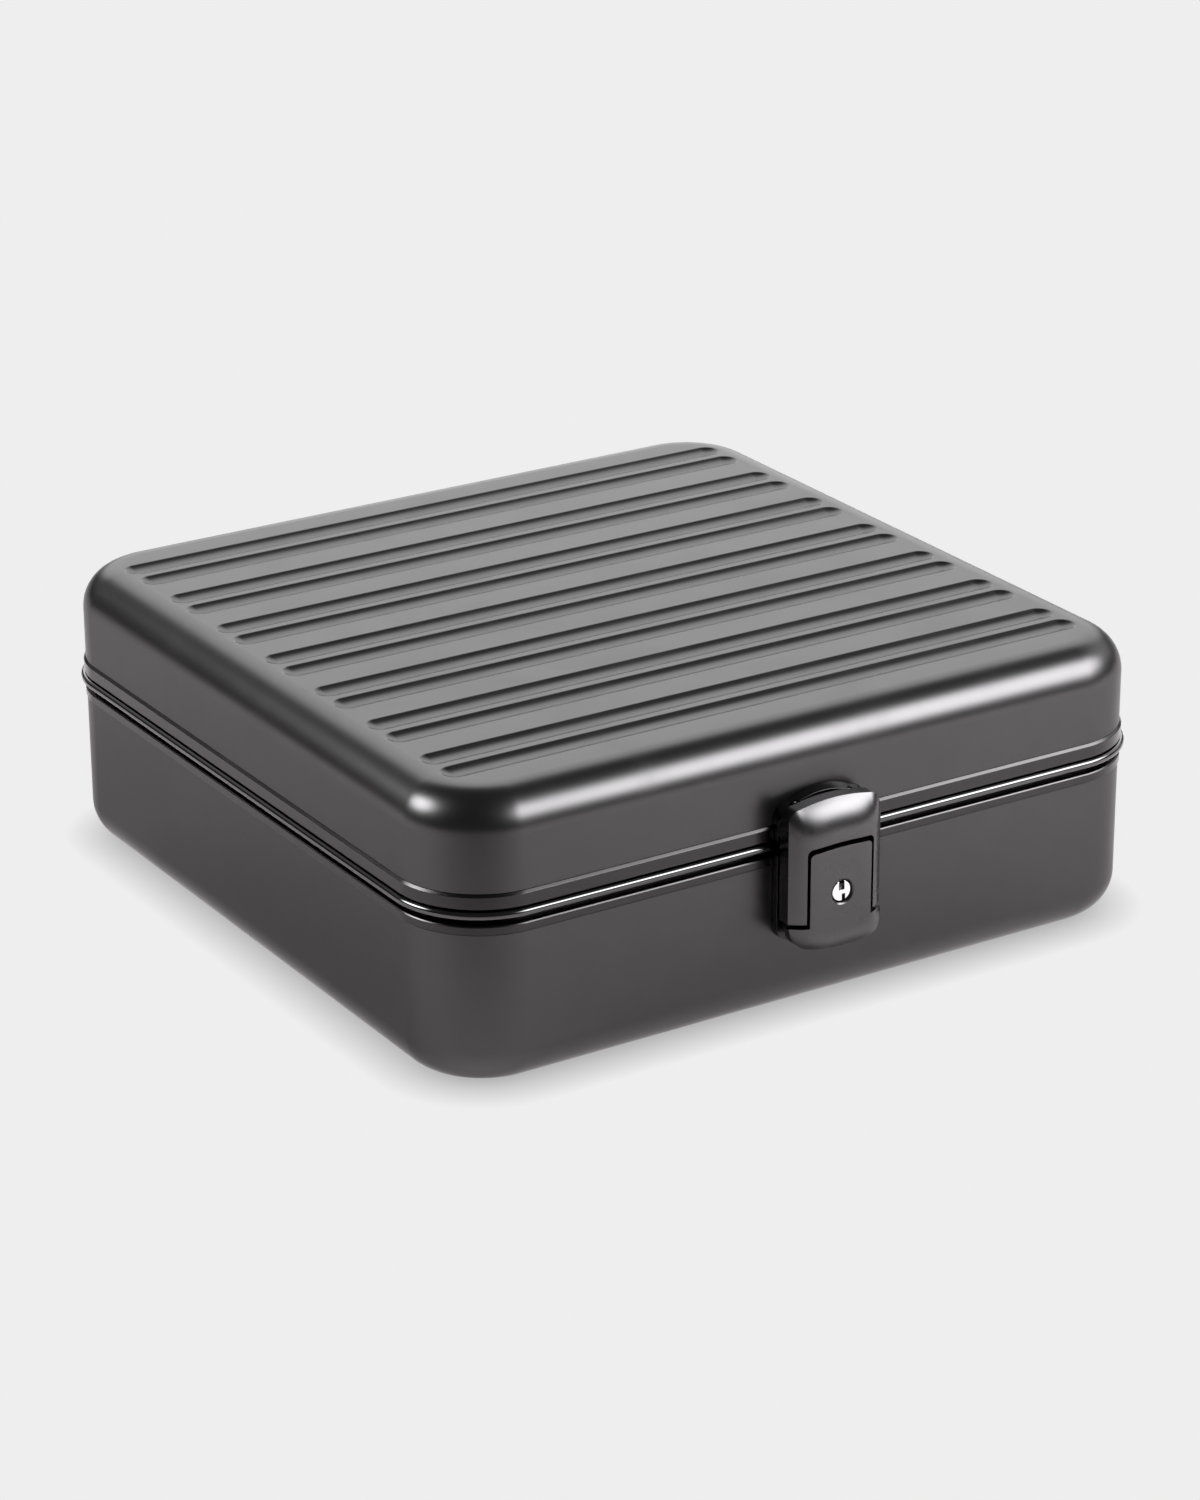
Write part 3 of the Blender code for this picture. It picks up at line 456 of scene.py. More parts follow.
class NodeSheet:
    """A short way to add and link nodes in one tree."""

    def __init__(self, tree: bpy.types.NodeTree) -> None:
        """Work on a node tree."""
        self.tree = tree

    def add(self, kind: str, values: "dict | None" = None, **settings: object) -> bpy.types.Node:
        """Add a node.

        Args:
            kind: The node's type.
            values: Input socket to a value, or to the output that feeds it.
            settings: Properties of the node.

        Returns:
            The node.
        """
        node = self.tree.nodes.new(kind)
        for label, setting in settings.items():
            setattr(node, label, setting)
        for socket, value in (values or {}).items():
            if isinstance(value, bpy.types.NodeSocket):
                self.tree.links.new(value, node.inputs[socket])
            else:
                node.inputs[socket].default_value = value
        return node

    def math(self, operation: str, first: object, second: object = 0.0) -> bpy.types.NodeSocket:
        """The output of a math node on two values or sockets."""
        return self.add("ShaderNodeMath", {0: first, 1: second}, operation=operation).outputs[0]

    def effect(self, group: bpy.types.NodeTree, **values: object) -> bpy.types.NodeOutputs:
        """The outputs of a shared effect placed in this tree."""
        return self.add("ShaderNodeGroup", values, node_tree=group).outputs

    def span(self, mask: bpy.types.NodeSocket, low: float, high: float) -> bpy.types.NodeSocket:
        """A mask from 0 to 1 as a value from low to high."""
        return self.add("ShaderNodeMapRange", {0: mask, 3: low, 4: high}).outputs[0]

    def tint(self, mask: bpy.types.NodeSocket, first: Corner, second: Corner) -> bpy.types.NodeSocket:
        """A mask as a colour.

        Args:
            mask: A value from 0 to 1.
            first: The colour at 0.
            second: The colour at 1.

        Returns:
            The colour's socket.
        """
        mix = self.add("ShaderNodeMix", data_type="RGBA")
        self.tree.links.new(mask, mix.inputs[0])
        mix.inputs[6].default_value = (*first, 1)
        mix.inputs[7].default_value = (*second, 1)
        return mix.outputs[2]


@dataclass(frozen=True)
class Finish:
    """A surface finish with grain and faint marks of handling."""

    name: str
    color: Corner
    roughness: float
    metallic: float = 0.0
    lift: float = 1.12
    grain: float = 5000.0
    relief: float = 0.06
    depth: float = 0.00003
    marks: float = 22.0
    dulling: float = 0.05
    glance: float = 1.0

    def lighter(self) -> Corner:
        """The colour where the tone is lifted."""
        return tuple(part * self.lift for part in self.color)

    def material(self) -> bpy.types.Material:
        """The finish as a material, built on first use.

        Returns:
            The material.
        """
        found = bpy.data.materials.get(self.name)
        if found:
            return found
        made = bpy.data.materials.new(self.name)
        made.use_nodes = True
        sheet = NodeSheet(made.node_tree)
        shader = made.node_tree.nodes["Principled BSDF"]
        shader.inputs["Metallic"].default_value = self.metallic
        shader.inputs["Specular Tint"].default_value = (*[self.glance] * 3, 1)
        self.dress(sheet, shader, sheet.add("ShaderNodeTexCoord").outputs["Object"])
        return made

    def feed(self, sheet: NodeSheet, shader: bpy.types.Node, values: dict) -> None:
        """Link outputs to the shader's sockets by name."""
        for socket, output in values.items():
            sheet.tree.links.new(output, shader.inputs[socket])

    def bump(self, sheet: NodeSheet, height: bpy.types.NodeSocket) -> bpy.types.NodeSocket:
        """A normal bent by a height, with this finish's relief."""
        values = {"Height": height, "Strength": self.relief, "Distance": self.depth}
        return sheet.add("ShaderNodeBump", values).outputs["Normal"]

    def dress(self, sheet: NodeSheet, shader: bpy.types.Node, place: bpy.types.NodeSocket) -> None:
        """Feed the shader with grain, tone and marks.

        Args:
            sheet: The material's nodes.
            shader: The material's shader.
            place: Object coordinates.
        """
        grain = sheet.effect(Effects.grain(), Vector=place, Scale=self.grain)
        mask = sheet.effect(Effects.marks(), Vector=place, Scale=self.marks)[0]
        self.feed(sheet, shader, {
            "Base Color": sheet.tint(grain["Tone"], self.color, self.lighter()),
            "Roughness": sheet.span(mask, self.roughness, self.roughness + self.dulling),
            "Normal": self.bump(sheet, grain["Height"]),
        })


@dataclass(frozen=True)
class ClothFinish(Finish):
    """Woven cloth or flock, with a soft sheen."""

    yarns: float = 1600.0
    sheen: float = 0.25
    sheen_roughness: float = 0.4

    def dress(self, sheet: NodeSheet, shader: bpy.types.Node, place: bpy.types.NodeSocket) -> None:
        """Feed the shader with the weave.

        Args:
            sheet: The material's nodes.
            shader: The material's shader.
            place: Object coordinates.
        """
        weave = sheet.effect(Effects.weave(), Vector=place, Yarns=self.yarns)
        self.feed(sheet, shader, {
            "Base Color": sheet.tint(weave["Tone"], self.color, self.lighter()),
            "Roughness": sheet.span(weave["Tone"], self.roughness - self.dulling, self.roughness),
            "Normal": self.bump(sheet, weave["Height"]),
        })
        shader.inputs["Sheen Weight"].default_value = self.sheen
        shader.inputs["Sheen Roughness"].default_value = self.sheen_roughness


class Finishes:
    """Every finish on the case."""

    SHELL = Finish("satin_black_anodising", (0.0745, 0.0730, 0.0745), 0.31, 1.0, glance=0.70)
    BAND = Finish("satin_black_band", (0.050, 0.0485, 0.0495), 0.24, 1.0, marks=40.0)
    BEAD = Finish("gloss_black_bead", (0.105, 0.105, 0.106), 0.11, 1.0, grain=3000.0, relief=0.03)
    LATCH = Finish(
        "black_latch_plating", (0.084, 0.0823, 0.0845), 0.27, 1.0, grain=7000.0, relief=0.03, marks=60.0,
    )
    LATCH_BACK = Finish("black_latch_back", (0.045, 0.044, 0.045), 0.22, 1.0, grain=7000.0, marks=60.0)
    CHROME = Finish(
        "polished_chrome", (0.86, 0.86, 0.86), 0.08, 1.0, lift=1.04, grain=9000.0, relief=0.02,
        marks=300.0,
    )
    STEEL = Finish(
        "turned_steel", (0.42, 0.41, 0.41), 0.26, 1.0, grain=9000.0, marks=250.0, dulling=0.12,
    )
    HINGE = Finish(
        "black_hinge_plating", (0.075, 0.072, 0.074), 0.26, 1.0, grain=6000.0, marks=70.0, dulling=0.1,
    )
    FLOCK = ClothFinish(
        "flocked_lining", (0.020, 0.020, 0.022), 0.95, lift=1.8, relief=0.5, depth=0.0002, yarns=2600.0,
    )
    CLOTH = ClothFinish(
        "cushion_cloth", (0.050, 0.048, 0.051), 0.92, lift=1.7, relief=0.7, depth=0.0003, yarns=1300.0,
    )
    PIPING = ClothFinish(
        "piping_cloth", (0.075, 0.073, 0.076), 0.80, lift=1.5, relief=0.6, depth=0.0002, yarns=2200.0,
    )
    FRAME = Finish(
        "moulded_black_frame", (0.022, 0.022, 0.023), 0.42, lift=1.3, grain=2600.0, relief=0.25,
        depth=0.00008,
    )
    GLASS = Finish(
        "silvered_glass", (0.88, 0.89, 0.90), 0.015, 1.0, lift=1.01, relief=0.0, marks=30.0, dulling=0.02,
    )


def install(
    work: Workpiece, name: str, finish: Finish, body: Body,
    replaces: Sequence[str] = (), crease: float = 35.0,
) -> bpy.types.Object:
    """Turn a workpiece into a finished piece on its body.

    Args:
        work: The shaped mesh, which is used up.
        name: Name of the piece.
        finish: Its surface.
        body: The body it rides on.
        replaces: CAD nodes that it stands for.
        crease: Angle in degrees above which an edge is shaded sharp.

    Returns:
        The piece.
    """
    item = work.rest_object(name)
    work.bm.free()
    item.data.materials.append(finish.material())
    item.data.shade_smooth()
    item.data.set_sharp_from_angle(angle=math.radians(crease))
    shading = item.modifiers.new("even_shading", "WEIGHTED_NORMAL")
    shading.keep_sharp = True
    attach(item, body.value)
    if replaces:
        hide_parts(*replaces)
    LOG.info("built %s with %d faces", name, len(item.data.polygons))
    return item


@dataclass
class PressedHalf:
    """A pressed sheet half of the case, its lining and its rim."""

    closed_z: float
    mouth_z: float
    up: int
    lining_inset: float = 0.0036
    lining_thickness: float = 0.0012
    lining_fillet: float = 0.0100
    lining_flat_z: float = 0.0018
    lining_mouth_z: float = 0.0560
    lining_edge: float = 0.0004

    def profile(self, inset: float, flat_z: float, fillet: float, mouth_z: float) -> list[Point]:
        """Inset and height of a skin, from its mouth to where it turns flat.

        Args:
            inset: Distance of its wall into the case.
            flat_z: Height of its flat end.
            fillet: Radius between wall and flat end.
            mouth_z: Height of its open edge.

        Returns:
            The profile's points.
        """
        center = (inset + fillet, flat_z - self.up * fillet)
        bend = arc((0, 0), fillet, 180, 90, CASE.fillet_steps)
        return [(inset, mouth_z)] + [(center[0] + x, center[1] + self.up * y) for x, y in bend]

    def tray(self, outer: Sequence[Point], inner: Sequence[Point]) -> tuple[Workpiece, Loop, Loop]:
        """Skin a tray from an outer and an inner profile, with both flat ends still open.

        Args:
            outer: Profile of the outer skin.
            inner: Profile of the inner skin.

        Returns:
            The workpiece, and the open loops of the outer and the inner flat end.
        """
        work = Workpiece()
        loops = [work.case_ring(inset, z) for inset, z in (*outer[::-1], *inner)]
        work.skin(loops, caps=False, level=True)
        return work, loops[0], loops[-1]

    def shell(self) -> tuple[Workpiece, Loop, Loop]:
        """The sheet's tray, with both flat ends open.

        Returns:
            The workpiece, and the open loops of the outer and the inner flat end.
        """
        sheet = CASE.sheet
        outer = self.profile(0, self.closed_z, CASE.fillet, self.mouth_z)
        inner = self.profile(sheet, self.closed_z - self.up * sheet, CASE.fillet - sheet, self.mouth_z)
        return self.tray(outer, inner)

    def lining(self) -> Workpiece:
        """The lining's tray, closed.

        Returns:
            The workpiece.
        """
        thick = self.lining_thickness
        flat = self.lining_flat_z
        inset = self.lining_inset
        fillet = self.lining_fillet
        outer = self.profile(inset, flat, fillet, self.lining_mouth_z)
        inner = self.profile(inset + thick, flat - self.up * thick, fillet - thick, self.lining_mouth_z)
        work, *ends = self.tray(outer, inner)
        for end in ends:
            work.cap(end)
        return work.soften(self.lining_edge, angle=60)

    @staticmethod
    def swept(outline: Sequence[Point]) -> Workpiece:
        """Carry a closed outline round the case.

        Args:
            outline: Inset and height of its points.

        Returns:
            The workpiece.
        """
        work = Workpiece()
        work.skin([work.case_ring(inset, z) for inset, z in outline], closed=True, level=True)
        return work


@dataclass
class Grooves:
    """Stiffening grooves pressed into the lid in pairs."""

    pairs: int = 7
    pitch: float = 0.0333
    spacing: float = 0.0122
    half_length: float = 0.1208
    bowl: float = 0.0084
    lip: float = 0.0012
    tilt: float = 32.0
    steps: int = 9
    end_steps: int = 8

    def centers(self) -> list[float]:
        """Y of every groove."""
        middles = [(pair - (self.pairs - 1) / 2) * self.pitch for pair in range(self.pairs)]
        return [middle + side * self.spacing / 2 for middle in middles for side in (-1, 1)]

    def outline(self, bowl: float, lip: float) -> list[Point]:
        """Half width and height of one side, from its lip down into its bowl.

        Args:
            bowl: Radius of the hollow.
            lip: Radius of the round edge.

        Returns:
            The outline's points.
        """
        tilts = [math.radians(self.tilt) * step / self.steps for step in range(self.steps + 1)]
        reach = bowl + lip
        end = tilts[-1]
        middle = reach * math.cos(end) - lip
        edge = [(reach * math.sin(end) - lip * math.sin(t), lip * (math.cos(t) - 1)) for t in tilts]
        hollow = [(bowl * math.sin(t), middle - bowl * math.cos(t)) for t in tilts[-2:0:-1]]
        return edge + hollow

    def press(self, work: Workpiece, rim: Loop, z: float, bowl: float, lip: float) -> None:
        """Fill a flat end with a plate that has the grooves in it.

        Args:
            work: The workpiece with the open end.
            rim: The open end's loop.
            z: Height of the plate.
            bowl: Radius of the grooves' hollow on this side.
            lip: Radius of their round edge on this side.
        """
        outline = self.outline(bowl, lip)
        end = self.half_length - outline[0][0]
        mouths: Loop = []
        for y in self.centers():
            loops = [work.ring(end + half, half, half, z + drop, self.end_steps, y) for half, drop in outline]
            work.skin(loops, caps=False, level=True)
            work.cap(loops[-1])
            mouths += loops[0]
        bmesh.ops.triangle_fill(work.bm, use_beauty=True, use_dissolve=False, edges=[*rim, *mouths])


@dataclass
class Lid(PressedHalf):
    """Lid: grooved shell, rim band, lining and the mirror in it."""

    closed_z: float = CASE.height
    mouth_z: float = CASE.lid_mouth
    up: int = 1
    lining_flat_z: float = 0.0943
    lining_mouth_z: float = 0.0651
    band: Sequence[Corner] = (
        (-0.0007, 0.0618, 0.0004), (-0.0007, 0.0660, 0.0002), (0.0001, 0.0668, 0.0002),
        (0.0018, 0.0668, 0.0001), (0.0018, 0.0700, 0.0003), (0.0030, 0.0700, 0.0003),
        (0.0030, 0.0618, 0.0003),
    )
    mirror_half: Point = (0.1050, 0.1030)
    mirror_corner: float = 0.0120
    mirror_steps: int = 10
    mirror_top: float = 0.0928
    frame_depth: float = 0.0030
    frame_width: float = 0.0060
    frame_lip: float = 0.0015
    frame_lip_depth: float = 0.0008
    frame_round: float = 0.0010
    frame_edge: float = 0.0003
    seat_edge: float = 0.0002
    seat_corner: float = 0.0001
    glass: float = 0.0016
    ground_width: float = 0.0060
    ground_depth: float = 0.0005
    ground_crease: float = 2.0

    def mirror_ring(self, work: Workpiece, inset: float, z: float) -> Loop:
        """A ring that follows the mirror's outline.

        Args:
            work: The workpiece that gets the ring.
            inset: Distance of the ring into the outline.
            z: Height of the ring.

        Returns:
            The ring's edges.
        """
        half_x, half_y = self.mirror_half
        corner = self.mirror_corner - inset
        return work.ring(half_x - inset, half_y - inset, corner, z, self.mirror_steps)

    def build_mirror(self) -> None:
        """Mirror with a ground edge, and the frame round it."""
        top = self.mirror_top
        low = top - self.frame_depth
        seat = self.frame_width - self.frame_lip
        corners = [
            (0, top, self.frame_edge), (0, low, self.frame_round),
            (self.frame_width, low, self.frame_edge),
            (self.frame_width, low + self.frame_lip_depth, self.seat_edge),
            (seat, low + self.frame_lip_depth, self.seat_corner), (seat, top, self.seat_edge),
        ]
        work = Workpiece()
        rings = [self.mirror_ring(work, inset, z) for inset, z in eased(corners, 4)]
        work.skin(rings, closed=True, level=True)
        install(work, "looking_glass_frame", Finishes.FRAME, Body.LID, ["mirror_frame"])

        face = low + self.frame_lip_depth + CASE.gap
        edge = seat + CASE.gap
        outline = [
            (edge + self.ground_width, face), (edge, face + self.ground_depth), (edge, face + self.glass),
        ]
        work = Workpiece()
        work.skin([self.mirror_ring(work, inset, z) for inset, z in outline], level=True)
        install(
            work, "looking_glass", Finishes.GLASS, Body.LID, ["mirror_glass"],
            self.ground_crease,
        )

    def build(self) -> None:
        """Build every piece of the lid."""
        grooves = Grooves()
        work, outer, inner = self.shell()
        sheet = CASE.sheet
        grooves.press(work, outer, self.closed_z, grooves.bowl, grooves.lip)
        grooves.press(work, inner, self.closed_z - sheet, grooves.bowl + sheet, grooves.lip / 4)
        install(work, "lid_pressing", Finishes.SHELL, Body.LID, ["lid_shell"])
        band = self.swept(eased(self.band))
        install(band, "lid_band", Finishes.BAND, Body.LID, ["lid_rim"])
        install(self.lining(), "lid_lining", Finishes.FLOCK, Body.LID, ["lid_liner"])
        self.build_mirror()


@dataclass
class Cushion:
    """Padded cloth cushion on the floor of the base, with piping round its foot."""

    half_x: float = 0.1192
    half_y: float = 0.1172
    corner: float = 0.0150
    floor_z: float = 0.0033
    thickness: float = 0.0030
    draw_in: float = 0.0016
    cells: int = 60
    side_cuts: int = 2
    pressure: float = 4.0
    frames: int = 20
    most_swell: float = 0.0028
    fill: float = 0.75
    piping: float = 0.0011
    piping_steps: int = 12
    piping_corner_steps: int = 8
    piping_cuts: int = 17
    flat: float = 1e-5

    def draw_sides_in(self, verts: Iterable[bmesh.types.BMVert]) -> None:
        """Draw the outline in between the corners.

        Args:
            verts: Vertices of the cover or the piping.
        """
        for vert in verts:
            across = vert.co.x / self.half_x
            along = vert.co.y / self.half_y
            vert.co.x -= self.draw_in * across * (1 - along ** 2)
            vert.co.y -= self.draw_in * along * (1 - across ** 2)

    def blank(self) -> Workpiece:
        """The flat cover before it is filled: a fine grid with round corners and low sides.

        Returns:
            The workpiece.
        """
        work = Workpiece()
        place = Matrix.Translation((0, 0, self.floor_z)) @ Matrix.Diagonal((self.half_x, self.half_y, 1, 1))
        bmesh.ops.create_grid(work.bm, x_segments=self.cells, y_segments=self.cells, size=1, matrix=place)
        for vert in work.bm.verts:
            past = Vector((
                abs(vert.co.x) - self.half_x + self.corner, abs(vert.co.y) - self.half_y + self.corner,
            ))
            if min(past) > 0:
                pull = past * (max(past) / past.length - 1)
                vert.co.x += math.copysign(pull.x, vert.co.x)
                vert.co.y += math.copysign(pull.y, vert.co.y)
        self.draw_sides_in(work.bm.verts)
        bmesh.ops.recalc_face_normals(work.bm, faces=work.bm.faces)
        top = bmesh.ops.extrude_face_region(work.bm, geom=work.bm.faces, use_keep_orig=True)["geom"]
        for vert in [item for item in top if isinstance(item, bmesh.types.BMVert)]:
            vert.co.z += self.thickness
        sides = [
            edge for edge in work.bm.edges if abs(edge.verts[0].co.z - edge.verts[1].co.z) > self.flat
        ]
        bmesh.ops.subdivide_edges(work.bm, edges=sides, cuts=self.side_cuts, use_grid_fill=True)
        return work

    def swell(self, cover: bpy.types.Object) -> None:
        """Fill the cover by a cloth simulation and keep its shape.

        Args:
            cover: The blank, whose underside stays on the floor.
        """
        scene = bpy.context.scene
        start = [vert.co.copy() for vert in cover.data.vertices]
        seated = cover.vertex_groups.new(name="seated")
        highest = self.floor_z + self.flat
        seated.add([vert.index for vert in cover.data.vertices if vert.co.z < highest], 1.0, "REPLACE")
        cloth = cover.modifiers.new("filling", "CLOTH")
        cloth.settings.vertex_group_mass = seated.name
        cloth.settings.use_pressure = True
        cloth.settings.uniform_pressure_force = self.pressure
        cloth.settings.effector_weights.gravity = 0
        cloth.point_cache.frame_start = 1
        cloth.point_cache.frame_end = self.frames
        for number in range(1, self.frames + 1):
            scene.frame_set(number)
        filled = cover.evaluated_get(bpy.context.evaluated_depsgraph_get()).data
        moves = [vert.co - here for vert, here in zip(filled.vertices, start)]
        cover.modifiers.remove(cloth)
        scene.frame_set(1)
        longest = max(move.length for move in moves)
        for vert, here, move in zip(cover.data.vertices, start, moves):
            vert.co = here + move.normalized() * self.most_swell * math.sqrt(move.length / longest)

    def cord(self) -> Workpiece:
        """The piping round the cushion's foot.

        Returns:
            The workpiece.
        """
        work = Workpiece()
        last = 360 - 360 / self.piping_steps
        section = arc((0, self.floor_z + self.piping), self.piping, 0, last, self.piping_steps - 1)
        sizes = (self.half_x, self.half_y, self.corner)
        rings = [
            work.ring(*[size - inset for size in sizes], z, self.piping_corner_steps)
            for inset, z in section
        ]
        work.skin(rings, closed=True, level=True)
        sides = [edge for edge in work.bm.edges if edge.calc_length() > self.corner]
        bmesh.ops.subdivide_edges(work.bm, edges=sides, cuts=self.piping_cuts, use_grid_fill=True)
        self.draw_sides_in(work.bm.verts)
        return work

    def build(self) -> None:
        """Build the cushion and its piping."""
        cover = install(
            self.blank(), "floor_cushion", Finishes.CLOTH, Body.BASE, ["base_floor_pad"], 180,
        )
        self.swell(cover)
        cover.modifiers.clear()
        smooth = cover.modifiers.new("soft_shape", "SUBSURF")
        smooth.levels = 1
        smooth.render_levels = 1
        install(self.cord(), "cushion_piping", Finishes.PIPING, Body.BASE)


@dataclass
class Base(PressedHalf):
    """Base: shell, rim flange with its tongue, closing bead and lining."""

    closed_z: float = 0.0
    mouth_z: float = CASE.base_mouth
    up: int = -1
    flange: Sequence[Corner] = (
        (-0.00045, 0.0534, 0.0002), (-0.00045, 0.0559, 0.0002), (-0.0001, 0.0563, 0.0002),
        (0.0032, 0.0563, 0.0001), (0.0032, 0.0583, 0.0001), (0.0035, 0.0583, 0.0001),
        (0.0035, 0.0645, 0.0005), (0.0050, 0.0645, 0.0005), (0.0050, 0.0555, 0.0002),
        (0.0033, 0.0555, 0.0002), (0.0033, 0.0516, 0.0003), (0.0018, 0.0516, 0.0003),
        (0.0018, 0.0534, 0.0001),
    )
    bead_low: float = 0.0586
    bead_high: float = 0.0614
    bead_proud: float = 0.0019
    bead_back: float = 0.0032
    bead_steps: int = 14

    def build_bead(self) -> None:
        """Round-nosed bead that the lid closes on."""
        nose = (self.bead_high - self.bead_low) / 2
        center = (nose - self.bead_proud, (self.bead_high + self.bead_low) / 2)
        outline = arc(center, nose, 90, 270, self.bead_steps)
        outline += [(self.bead_back, self.bead_low), (self.bead_back, self.bead_high)]
        bead = self.swept(outline)
        install(bead, "closing_bead", Finishes.BEAD, Body.BASE, ["rim_seal"])

    def build(self) -> None:
        """Build every piece of the base."""
        work, *ends = self.shell()
        for end in ends:
            work.cap(end)
        install(work, "base_pressing", Finishes.SHELL, Body.BASE, ["base_shell"])
        flange = self.swept(eased(self.flange))
        install(flange, "base_flange", Finishes.BAND, Body.BASE, ["base_rim"])
        self.build_bead()
        install(self.lining(), "base_lining", Finishes.FLOCK, Body.BASE, ["base_liner"])
        Cushion().build()


@dataclass
class Rivets:
    """Domed rivets through a plate and the sheet behind it."""

    shank: float = 0.0012
    head: float = 0.0020
    head_height: float = 0.0009
    brim: float = 0.0002
    dome_steps: int = 7
    tail: float = 0.0018
    tail_height: float = 0.0010

    def build(
        self, node: str, places: Sequence[Point], point: Callable[[float, float, float], Vector],
        seat: float, body: Body, finish: Finish,
    ) -> None:
        """Build one row of rivets, numbered as the nodes they stand for.

        Args:
            node: Start of the nodes' names.
            places: X and Z of each rivet.
            point: The wall's own coordinates.
            seat: How proud the face under the heads is.
            body: The body the rivets ride on.
            finish: Their surface.
        """
        low = seat + CASE.gap
        turns = [math.pi / 2 * step / self.dome_steps for step in range(self.dome_steps, -1, -1)]
        rise = self.head_height - self.brim
        dome = [(self.head * math.cos(a), low + self.brim + rise * math.sin(a)) for a in turns]
        tail = -CASE.sheet - CASE.gap
        end = tail - self.tail_height
        profile = [
            *dome, (self.head, low), (self.shank, low), (self.shank, tail), (self.tail, tail),
            (self.tail, end), (0, end),
        ]
        for number, (x, z) in enumerate(places, start=1):
            outward = (point(x, 1, z) - point(x, 0, z)).normalized()
            work = Workpiece().turned(profile, point(x, 0, z), outward)
            install(work, f"{node}_{number}_head", finish, body, [f"{node}_{number}"])


def pin(
    name: str, node: str, origin: Vector, axis: Vector, radius: float, start: float, end: float, body: Body,
) -> None:
    """Build a plain pin with chamfered ends.

    Args:
        name: Name of the piece.
        node: The node it stands for.
        origin: A point on the axis.
        axis: Direction of the axis.
        radius: Radius of the pin.
        start: Where it starts along the axis.
        end: Where it ends along the axis.
        body: The body it rides on.
    """
    edge = radius / 4
    profile = [
        (0, start), (radius - edge, start), (radius, start + edge),
        (radius, end - edge), (radius - edge, end), (0, end),
    ]
    work = Workpiece().turned(profile, origin, axis)
    install(work, name, Finishes.STEEL, body, [node])


def front_block(low: Corner, high: Corner) -> Workpiece:
    """A box on the latch side between two corners of X, proud and height."""
    ends = (CASE.front(*low), CASE.front(*high))
    return Workpiece().block([min(pair) for pair in zip(*ends)], [max(pair) for pair in zip(*ends)])


